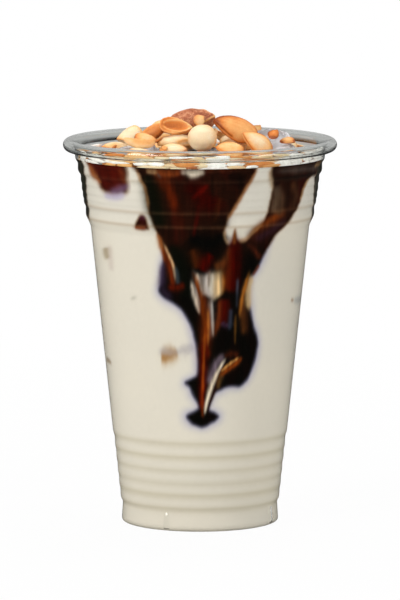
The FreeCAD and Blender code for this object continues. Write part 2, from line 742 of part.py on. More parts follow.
def seat(nut, top, lies, x, y, turn, roll, pitch):
    """Holds a nut over the heap at a place, in the way it lies, and lets it down until it touches."""
    rolled = FreeCAD.Rotation(FreeCAD.Vector(1, 0, 0), roll)
    pitched = FreeCAD.Rotation(FreeCAD.Vector(0, 1, 0), pitch)
    if lies == "laid":
        lean = lean_on(top, x, y, turn, 0.3 * size("almond_length"), 0.3 * size("almond_width"))
        way = lean.multiply(rolled).multiply(pitched)
    else:
        way = pitched.multiply(rolled).multiply(FreeCAD.Rotation(FreeCAD.Vector(0, 0, 1), turn))
    high = value(NECK_LOW) + 3 * size("ice_height")
    nut.Placement = FreeCAD.Placement(FreeCAD.Vector(x, y, high), way)
    shape = nut.Shape.copy()
    shift = keep_inside(shape, x, y)
    shape.translate(shift)
    fall = top.gap_under(shape) - size("nut_clearance")
    shape.translate(FreeCAD.Vector(0, 0, -fall))
    nut.Placement.Base = nut.Placement.Base + shift - FreeCAD.Vector(0, 0, fall)
    top.add(shape)


def make_nuts(top):
    """Every nut of the heap, each seated on those before it."""
    nuts = []
    for number, (lies, kind, *pose, grade) in enumerate(NUTS, start=1):
        nut = NUT_KINDS[kind]("nut_%s_%d" % (kind, number), grade)
        doc.recompute()
        seat(nut, top, lies, *pose)
        nuts.append(node(nut, "nut_%s_%d" % (kind, number)))
    return nuts


heap = HeapTop(value(NECK_LOW) - size("nut_dip"))
for cube in ice:
    heap.add(cube.Shape)
nuts = make_nuts(heap)
doc.recompute()

# ---------------------------------------------------------------- coffee and milk


def make_drink():
    """Coffee where it reaches, milk in the rest, both cut round the ice and the nuts that dip in."""
    garnish = doc.addObject("Part::Compound", "garnish")
    garnish.Links = ice + [nut for nut in nuts if nut.Shape.BoundBox.ZMin < value(NECK_LOW)]
    for kind, label in (("Common", "coffee"), ("Cut", "milk")):
        plain = boolean(kind, label + "_plain", fill, coffee_reach)
        node(boolean("Cut", label + "_cut", plain, garnish), label)


make_drink()
doc.recompute()


def check_document():
    """Stops the build if any object failed or any sub-part isn't a sound shape."""
    for thing in doc.Objects:
        if "Invalid" in thing.State or "Error" in thing.State:
            raise RuntimeError("%s failed: %s" % (thing.Name, thing.State))
    for thing in nodes:
        if thing.Shape.isNull() or not thing.Shape.isValid() or not thing.Shape.Solids:
            raise RuntimeError("%s isn't a sound solid" % thing.Label)


def write_parts():
    """Writes each sub-part to its own file."""
    os.makedirs("parts", exist_ok=True)
    for thing in nodes:
        thing.Shape.exportStep(os.path.join("parts", thing.Label + ".step"))
        print("%-16s %2d solid %10.1f mm3" % (thing.Label, len(thing.Shape.Solids), thing.Shape.Volume))


check_document()
write_parts()
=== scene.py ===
"""The looks of the iced coffee: a thin clear cup, milk with coffee running down in it, ice and nuts.

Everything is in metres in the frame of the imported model: +Z up, the front towards -Y.
A place on the cup's wall is given as (azimuth in degrees from the front, height in millimetres).
"""
import itertools
import math
import random
import bmesh
import bpy
import numpy as np
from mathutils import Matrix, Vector
from mathutils.bvhtree import BVHTree


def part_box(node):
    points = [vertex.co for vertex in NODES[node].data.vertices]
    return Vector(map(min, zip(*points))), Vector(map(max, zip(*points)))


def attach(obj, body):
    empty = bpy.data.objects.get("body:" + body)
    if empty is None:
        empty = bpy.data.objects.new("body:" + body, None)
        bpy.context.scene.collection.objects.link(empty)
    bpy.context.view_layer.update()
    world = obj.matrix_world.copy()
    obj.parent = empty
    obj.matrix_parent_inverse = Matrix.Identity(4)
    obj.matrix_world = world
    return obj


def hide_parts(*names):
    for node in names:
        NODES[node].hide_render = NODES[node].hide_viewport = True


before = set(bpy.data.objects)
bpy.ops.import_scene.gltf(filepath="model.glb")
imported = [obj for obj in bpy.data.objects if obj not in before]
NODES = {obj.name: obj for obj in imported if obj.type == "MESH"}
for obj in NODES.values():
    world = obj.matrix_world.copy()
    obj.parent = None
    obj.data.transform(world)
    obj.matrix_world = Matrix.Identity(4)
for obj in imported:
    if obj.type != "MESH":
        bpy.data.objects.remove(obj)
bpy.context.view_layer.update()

MM = 0.001
SEED = 7

# ---------------------------------------------------------------- sizes of the cup, in millimetres

CUP_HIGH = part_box("cup")[1]
CUP_HEIGHT = CUP_HIGH.z / MM
RIM_RADIUS = CUP_HIGH.x / MM
LEVEL = max(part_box("milk")[1].z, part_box("coffee")[1].z) / MM
WALL = 0.45
FLOOR_WALL = 0.6
CURL_RADIUS = 2.1
CURL_END = -0.78 * math.pi
CURL_STEPS = 40
NECK_RADIUS = RIM_RADIUS - 4.3
NECK_TALL = 2.5
FOOT_RADIUS = 28.15
FOOT_TAPER = 0.4
FOOT_HEIGHT = 7.2
FOOT_BEVEL = 0.6
PUSH_UP = 3.2
PUSH_RADIUS = 20.0
RING_WIDTH = 3.2
RIB_COUNT = 5
RIB_START = 8.5
RIB_PITCH = 4.72
RIB_BAND = 3.45
RIB_STEP = 0.5
RIB_SWELL = 0.95
RIB_INSET = 0.15
TAPER_START = (31.3, 32.6)
TAPER_END = (NECK_RADIUS - 5.55, CUP_HEIGHT - 31.0)
# The stacking bands of the shoulder: inset from the neck, drop from the rim, height, shade under the ledge.
SHOULDER = (
    (3.80, 27.2, 3.2, 0.2),
    (3.10, 22.8, 1.5, 0.15),
    (2.75, 20.5, 1.7, 0.0),
    (2.40, 18.1, 2.4, 0.0),
    (2.05, 15.1, 2.4, 0.0),
    (1.00, 11.3, 2.9, 0.2),
)
LUG_AZIMUTHS = (-25.0, 65.0, 155.0, 245.0)
LUG_WIDTH = 2.4
LUG_DEPTH = 0.55
CUP_COLUMNS = 256


def side_corners():
    """Corners of the cup's outer side from the foot up to the neck: radius and height."""
    corners = [(FOOT_RADIUS, FOOT_BEVEL), (FOOT_RADIUS - FOOT_TAPER, FOOT_HEIGHT)]
    for rib in range(RIB_COUNT):
        radius = FOOT_RADIUS - FOOT_TAPER + RIB_SWELL + rib * RIB_STEP
        low = RIB_START + rib * RIB_PITCH
        corners += [(radius - RIB_INSET, low), (radius, low + RIB_BAND)]
    corners += [TAPER_START, TAPER_END]
    for inset, drop, tall, _ in SHOULDER:
        radius = NECK_RADIUS - inset
        corners += [(radius, CUP_HEIGHT - drop), (radius, CUP_HEIGHT - drop + tall)]
    return corners + [(NECK_RADIUS, LEVEL), (NECK_RADIUS, LEVEL + NECK_TALL)]


def soften(corners, radius, steps=4):
    """Rounds each inner corner of an open outline with a short curve."""
    points = [np.array(corners[0], float)]
    for before, here, after in zip(corners, corners[1:], corners[2:]):
        before, here, after = (np.array(p, float) for p in (before, here, after))
        back, on = before - here, after - here
        reach_back = min(radius, 0.45 * np.linalg.norm(back))
        reach_on = min(radius, 0.45 * np.linalg.norm(on))
        start = here + back / np.linalg.norm(back) * reach_back
        end = here + on / np.linalg.norm(on) * reach_on
        for t in np.linspace(0, 1, steps):
            points.append((1 - t) ** 2 * start + 2 * t * (1 - t) * here + t ** 2 * end)
    points.append(np.array(corners[-1], float))
    return np.array(points)


SIDE = soften(side_corners(), 0.7)


def wall_radius(height):
    """Outer radius of the cup's side at a height, both in millimetres."""
    return np.interp(height, SIDE[:, 1], SIDE[:, 0])


# ---------------------------------------------------------------- helpers


def smoothstep(low, high, x):
    """0 below low, 1 above high, a smooth rise between."""
    t = np.clip((x - low) / (high - low), 0, 1)
    return t * t * (3 - 2 * t)


def new_object(name, vertices, faces):
    """A mesh object from vertices and faces, shaded smooth."""
    mesh = bpy.data.meshes.new(name)
    mesh.from_pydata([tuple(v) for v in vertices], [], [tuple(f) for f in faces])
    mesh.update()
    piece = bpy.data.objects.new(name, mesh)
    bpy.context.scene.collection.objects.link(piece)
    mesh.polygons.foreach_set("use_smooth", np.ones(len(mesh.polygons), bool))
    return piece


def grid_faces(rows, columns):
    """Quads of a grid whose columns go round."""
    faces = []
    for row in range(rows - 1):
        for column in range(columns):
            a = row * columns + column
            b = row * columns + (column + 1) % columns
            faces.append((a, b, b + columns, a + columns))
    return faces


def float_attribute(piece, name, numbers):
    """Stores one number for each vertex."""
    layer = piece.data.attributes.new(name, "FLOAT", "POINT")
    layer.data.foreach_set("value", np.asarray(numbers, np.float32))


def colour_attribute(piece, name, colours):
    """Stores one linear colour for each vertex."""
    layer = piece.data.color_attributes.new(name, "FLOAT_COLOR", "POINT")
    full = np.ones((len(colours), 4), np.float32)
    full[:, :3] = colours
    layer.data.foreach_set("color", full.ravel())


def tint(red, green, blue):
    """A colour given in ordinary 0 to 255 numbers, from 0 to 1 and as bright as it looks."""
    return np.array((red, green, blue)) / 255


def to_linear(colours):
    """Colours as bright as they look, turned to linear light."""
    return np.where(colours <= 0.04045, colours / 12.92, ((colours + 0.055) / 1.055) ** 2.4)


def linear(red, green, blue):
    """A colour given in ordinary 0 to 255 numbers, as linear light."""
    return to_linear(tint(red, green, blue))


class Nodes:
    """A short way to write the node tree of a material or of the world."""

    def __init__(self, name, world=False):
        self.owner = (bpy.data.worlds if world else bpy.data.materials).new(name)
        self.owner.use_nodes = True
        self.tree = self.owner.node_tree
        self.tree.nodes.clear()
        self.out = self.add("OutputWorld" if world else "OutputMaterial")

    def add(self, kind, **inputs):
        """Adds a node; named inputs are numbers, colours or sockets to link."""
        node = self.tree.nodes.new("ShaderNode" + kind)
        for key, given in inputs.items():
            self.feed(node, key.replace("_", " "), given)
        return node

    def feed(self, node, key, given):
        """Sets or links one input of a node."""
        socket = node.inputs[key]
        if isinstance(given, bpy.types.NodeSocket):
            self.tree.links.new(given, socket)
        elif isinstance(given, (tuple, list, np.ndarray)) and socket.type == "RGBA":
            socket.default_value = (*given[:3], 1.0)
        else:
            socket.default_value = given

    def math(self, operation, a, b=0.5, c=0.5):
        """A Math node's result."""
        node = self.add("Math")
        node.operation = operation
        for key, given in enumerate((a, b, c)):
            self.feed(node, key, given)
        return node.outputs[0]

    def mix(self, share, a, b, blend="MIX"):
        """A mixed colour."""
        node = self.add("Mix")
        node.data_type = "RGBA"
        node.blend_type = blend
        self.feed(node, 0, share)
        self.feed(node, 6, a)
        self.feed(node, 7, b)
        return node.outputs[2]

    def ramp(self, share, *stops):
        """A colour ramp over stops of (place, colour)."""
        node = self.add("ValToRGB")
        elements = node.color_ramp.elements
        while len(elements) < len(stops):
            elements.new(0.5)
        for element, (place, colour) in zip(elements, stops):
            element.position = place
            element.color = (*colour[:3], 1.0)
        self.feed(node, 0, share)
        return node.outputs[0]

    def attribute(self, name):
        """The node that reads a vertex attribute."""
        node = self.add("Attribute")
        node.attribute_name = name
        return node

    def noise(self, scale, detail=4.0, rough=0.5, stretch=(1, 1, 1), distortion=0.0):
        """Noise over object coordinates, with scale in features a metre."""
        place = self.add("TexCoord").outputs["Object"]
        mapping = self.add("Mapping", Vector=place, Scale=stretch)
        node = self.add("TexNoise", Vector=mapping.outputs[0], Scale=scale, Detail=detail, Roughness=rough)
        node.inputs["Distortion"].default_value = distortion
        return node.outputs[0]

    def bump(self, height, strength, distance):
        """A bumped normal."""
        return self.add("Bump", Height=height, Strength=strength, Distance=distance).outputs[0]

    def fade(self, number, low, high, start, end):
        """Runs from start to end while a number goes from low to high."""
        node = self.add("MapRange", Value=number, From_Min=low, From_Max=high, To_Min=start, To_Max=end)
        return node.outputs[0]

    def glow(self, colour, strength=1.0):
        """A shader that only shines."""
        return self.add("Emission", Color=colour, Strength=strength).outputs[0]

    def blend(self, share, a, b):
        """A shader that goes from a to b by a share."""
        node = self.add("MixShader", Fac=share)
        self.feed(node, 1, a)
        self.feed(node, 2, b)
        return node.outputs[0]

    def finish(self, shader):
        """Links the last shader to the output."""
        self.tree.links.new(shader, self.out.inputs["Surface"])
        return self.owner


# ---------------------------------------------------------------- camera, light, floor

CAMERA_PLACE = Vector((0.0, -1.981, 0.332))
CAMERA_AIM = Vector((0.0, 0.0, 0.0797))
LENS_MM = 333.8
WHITE = (1.0, 1.0, 1.0)
WORLD_LIGHT = 0.52
# What rays of a kind see of the world: stops of (place from the front, 0, to the back, 1; grey).
WORLD_LAYERS = (
    ("Is Glossy Ray", ((0.0, 0.01), (0.45, 0.02), (0.62, 0.2), (0.9, 0.45))),
    ("Is Transmission Ray", ((0.3, 0.05), (0.6, 0.24), (0.85, 0.42), (1.0, 0.62))),
    ("Is Camera Ray", ((0.0, 1.0), (1.0, 1.0))),
)
FLOOR_HALF = 6.0
FLOOR_DROP = 0.0001


def make_camera():
    """A long lens a little above the rim, aimed at the middle of the cup."""
    data = bpy.data.cameras.new("camera")
    data.sensor_width = 36.0
    data.lens = LENS_MM
    data.clip_end = 50.0
    camera = bpy.data.objects.new("camera", data)
    bpy.context.scene.collection.objects.link(camera)
    camera.location = CAMERA_PLACE
    camera.rotation_euler = (CAMERA_AIM - CAMERA_PLACE).to_track_quat("-Z", "Y").to_euler()
    bpy.context.scene.camera = camera


def make_area(name, place, aim, wide, tall, watts, colour=WHITE):
    """One soft lamp."""
    data = bpy.data.lights.new(name, "AREA")
    data.shape = "RECTANGLE"
    data.size = wide
    data.size_y = tall
    data.energy = watts
    data.color = colour
    lamp = bpy.data.objects.new(name, data)
    bpy.context.scene.collection.objects.link(lamp)
    lamp.location = place
    lamp.rotation_euler = (Vector(aim) - Vector(place)).to_track_quat("-Z", "Y").to_euler()
    return lamp


def make_lights():
    """A large soft key from the left, a weaker fill from the right and a top light."""
    aim = (0, 0, 0.09)
    lamps = (
        make_area("key", (-1.2, -1.0, 0.9), aim, 0.8, 0.8, 19.0, (1.0, 0.985, 0.96)),
        make_area("fill", (1.3, -0.9, 0.6), aim, 0.7, 0.9, 7.5, (0.99, 0.99, 1.0)),
        make_area("top", (0.1, 0.3, 1.3), aim, 0.8, 0.8, 9.0),
    )
    for lamp in lamps:
        lamp.visible_transmission = False
    lamps[2].visible_glossy = False


def make_world():
    """White to the camera, soft light on the cup, and greys for what the plastic mirrors and bends."""
    nodes = Nodes("studio", world=True)
    bpy.context.scene.world = nodes.owner
    way = nodes.add("SeparateXYZ", Vector=nodes.add("TexCoord").outputs["Generated"])
    depth = nodes.math("MULTIPLY_ADD", way.outputs["Y"], 0.5, 0.5)
    path = nodes.add("LightPath")

    def sky(strength, *stops):
        """A background whose grey runs from the front of the scene to its back."""
        greys = [(place, (grey, grey * 1.01, grey * 0.99)) for place, grey in stops]
        return nodes.add("Background", Color=nodes.ramp(depth, *greys), Strength=strength).outputs[0]

    shader = sky(WORLD_LIGHT, (0.0, 1.0), (1.0, 0.85))
    for kind, stops in WORLD_LAYERS:
        shader = nodes.blend(path.outputs[kind], shader, sky(1.0, *stops))
    nodes.finish(shader)


def floor_material():
    """A floor white to the camera but for a faint shadow, dark in mirrors, grey through plastic."""
    nodes = Nodes("pale_floor")
    place = nodes.add("TexCoord").outputs["Object"]
    away = nodes.add("VectorMath", Vector=place)
    away.operation = "LENGTH"
    shadow = nodes.fade(away.outputs["Value"], 0.06, 0.5, 0.965, 1.0)
    along = nodes.add("SeparateXYZ", Vector=place).outputs["Y"]
    behind = nodes.fade(along, 0.8, 1.2, 0.03, 0.47)
    grain = nodes.noise(40.0, 3.0)
    tone = nodes.ramp(grain, (0.3, (0.62, 0.62, 0.61)), (0.7, (0.66, 0.66, 0.65)))
    matt = nodes.add("BsdfPrincipled", Base_Color=tone, Roughness=0.8, Specular_IOR_Level=0.1)
    path = nodes.add("LightPath").outputs
    shader = nodes.blend(path["Is Glossy Ray"], matt.outputs[0], nodes.glow((0.025, 0.025, 0.025)))
    shader = nodes.blend(path["Is Transmission Ray"], shader, nodes.glow((1.0, 1.0, 0.985), behind))
    seen = nodes.math("MULTIPLY", path["Is Camera Ray"], shadow)
    return nodes.finish(nodes.blend(seen, shader, nodes.glow(WHITE)))


def make_floor():
    """A wide floor just under the cup."""
    corners = [(x * FLOOR_HALF, y * FLOOR_HALF, 0) for x, y in ((-1, -1), (1, -1), (1, 1), (-1, 1))]
    floor = new_object("floor", corners, [(0, 1, 2, 3)])
    floor.location.z = -FLOOR_DROP
    floor.data.materials.append(floor_material())


# ---------------------------------------------------------------- the cup


def clear_plastic():
    """Thin clear plastic that lets lamps shine through it."""
    nodes = Nodes("clear_plastic")
    ripple = nodes.noise(90.0, 2.0, 0.4, (1, 1, 0.25))
    glass = nodes.add(
        "BsdfPrincipled",
        Base_Color=(0.965, 0.975, 0.965),
        Roughness=0.025,
        IOR=1.5,
        Transmission_Weight=1.0,
        Normal=nodes.bump(ripple, 0.06, 0.0004),
    )
    through = nodes.add("BsdfTransparent", Color=(0.985, 0.988, 0.985))
    path = nodes.add("LightPath").outputs
    dim = nodes.math("MAXIMUM", path["Is Shadow Ray"], path["Is Diffuse Ray"])
    return nodes.finish(nodes.blend(dim, glass.outputs[0], through.outputs[0]))


def cup_outline():
    """The closed section of the cup's wall and rolled rim, in millimetres."""
    middle = np.array([RIM_RADIUS - CURL_RADIUS, CUP_HEIGHT - CURL_RADIUS])
    foot = FOOT_RADIUS - FOOT_BEVEL
    base = [(0.0, PUSH_UP), (PUSH_RADIUS, PUSH_UP), (foot - RING_WIDTH, 0.0), (foot, 0.0)]
    start = RIM_RADIUS - 2 * CURL_RADIUS
    outer = soften(base + side_corners() + [(start + WALL, middle[1])], 0.7)
    floor = [(r, z + FLOOR_WALL) for r, z in base[:3]] + [(foot - WALL / 2, FLOOR_WALL)]
    side = [(r - WALL, z) for r, z in side_corners()]
    side[0] = (side[0][0], side[0][1] + FLOOR_WALL)
    inner = soften(floor + side + [(start, middle[1])], 0.6)
    hollow, full = [], []
    for angle in np.linspace(math.pi, CURL_END, CURL_STEPS)[1:]:
        way = np.array([math.cos(angle), math.sin(angle)])
        hollow.append(middle + way * (CURL_RADIUS - WALL))
        full.append(middle + way * CURL_RADIUS)
    return np.vstack([outer, hollow, full[::-1], inner[::-1]])


def lug_share(azimuth, radius, height):
    """1 on the lugs of the foot and 0 beside them."""
    share = np.zeros_like(radius)
    for place in LUG_AZIMUTHS:
        off = np.abs((azimuth - place + 180) % 360 - 180) * math.pi / 180 * FOOT_RADIUS
        share = np.maximum(share, 1 - smoothstep(LUG_WIDTH * 0.3, LUG_WIDTH * 0.62, off))
    on_foot = smoothstep(0.5, 1.2, height) * (1 - smoothstep(FOOT_HEIGHT - 1.0, FOOT_HEIGHT - 0.2, height))
    on_side = smoothstep(FOOT_RADIUS - 2.5, FOOT_RADIUS - 1.6, radius)
    return share * on_foot * on_side


def make_cup():
    """The cup as one closed thin wall with lugs pressed into its foot."""
    outline = cup_outline()
    angles = np.linspace(0, 2 * math.pi, CUP_COLUMNS, endpoint=False)
    radius, height = (np.repeat(side[:, None], CUP_COLUMNS, 1) for side in outline.T)
    radius = radius + lug_share(np.degrees(angles)[None, :], radius, height) * LUG_DEPTH
    vertices = np.stack([radius * np.sin(angles), -radius * np.cos(angles), height], -1).reshape(-1, 3) * MM
    cup = new_object("cold_cup", vertices, grid_faces(len(outline), CUP_COLUMNS))
    clean = bmesh.new()
    clean.from_mesh(cup.data)
    bmesh.ops.remove_doubles(clean, verts=clean.verts, dist=1e-6)
    bmesh.ops.recalc_face_normals(clean, faces=clean.faces)
    clean.to_mesh(cup.data)
    clean.free()
    cup.data.materials.append(clear_plastic())
    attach(cup, "root")
    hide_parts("cup")


# ---------------------------------------------------------------- the drink's pattern

MILK = tint(226, 218, 203)
MILK_COOL = tint(206, 203, 196)
COFFEE = tint(6, 5, 3)
COFFEE_RED = tint(56, 3, 2)
COFFEE_BROWN = tint(38, 14, 6)
VIOLET = tint(160, 158, 186)
FRINGE = tint(72, 70, 92)
TAN = tint(150, 112, 76)
OLIVE = tint(33, 33, 22)
OLIVE_PALE = tint(96, 88, 80)
GLOW = tint(112, 52, 18)
PATCH_RED = tint(66, 12, 5)
PANE = tint(164, 154, 146)
TOP_BROWN = tint(70, 30, 14)

# Outlines of the coffee on the wall, each closed: azimuth, height.
PLUME = (
    (-32.5, 138), (-31.3, 131), (-29.3, 128.8), (-27.6, 125), (-26.4, 119.5), (-25.6, 115),
    (-23.4, 110.5), (-21.6, 106), (-20, 102), (-19.7, 99), (-20.7, 94), (-21.6, 90), (-22.9, 87.3),
    (-20.5, 85.2), (-16, 83.4), (-11, 81.2), (-7.5, 78), (-4.6, 74), (-2.8, 70), (-1.7, 66),
    (-1.1, 61.5), (-1.6, 57.5), (-4.8, 56), (-9, 54.5), (-5.9, 52.6), (-4.2, 50), (-1.6, 47.2),
    (-0.8, 45.4), (-3.2, 44.1), (-8.1, 42.4), (-5.8, 39.9), (-2.3, 38.9), (2, 38.3), (6.6, 39.6),
    (11.6, 41.8), (9.6, 43.5), (5.4, 44.6), (5.6, 47.2), (7.8, 50.1), (12, 51.7), (18, 52.9),
    (25, 52.8), (29.4, 54.9), (32.6, 58.4), (34.9, 63), (35.7, 67.8), (34.2, 71.4), (31.8, 75),
    (29.6, 79.5), (27.6, 84.5), (27.4, 89), (29.2, 92.2), (32.8, 95.4), (37, 100.4), (42, 105.4),
    (48, 109.3), (53.2, 112.6), (57, 116.2), (59.8, 121), (62.8, 124.5), (67, 126.4), (72, 127),
    (74, 138),
)
WEDGE = (
    (27.6, 133), (26.2, 129.4), (24.3, 126.8), (20.6, 121.8), (16.6, 116.9), (13.6, 112.8),
    (12.6, 109.6), (13.2, 106.4), (15, 104.2), (16.9, 105.2), (18.2, 108.2), (19.8, 105.8),
    (23.4, 105.2), (26.8, 106.6), (29.2, 109.5), (33, 111.5), (35, 114.2), (35.8, 118), (37, 122.6),
    (36.3, 125.8), (34.4, 128.4), (34.4, 133),
)
WINDOW = (
    (-4.9, 95.4), (-3, 95.6), (0.2, 94.4), (3, 95.4), (8, 96.2), (12.4, 97), (14.8, 94.5), (15.2, 90.5),
    (13.6, 86.8), (9.5, 84.4), (6.6, 83.4), (4.6, 85), (1.6, 85), (0.6, 81), (-0.6, 80), (-2.4, 84),
    (-4.2, 89.5),
)
PATCH = (
    (-63.6, 138), (-63.6, 130), (-61.6, 127.4), (-57.6, 126.6), (-56.4, 123.6), (-53, 121.6),
    (-47, 121.1), (-41.5, 121.6), (-37.6, 122.6), (-36.6, 126.4), (-35.8, 131), (-36, 138),
)
PATCH_SOFTNESS = 0.55
DROP = (
    (-34.2, 109.3), (-33, 112), (-31.2, 113.9), (-29.2, 114.2), (-27.6, 112.6), (-26.8, 110.2),
    (-27.6, 109.2),
)

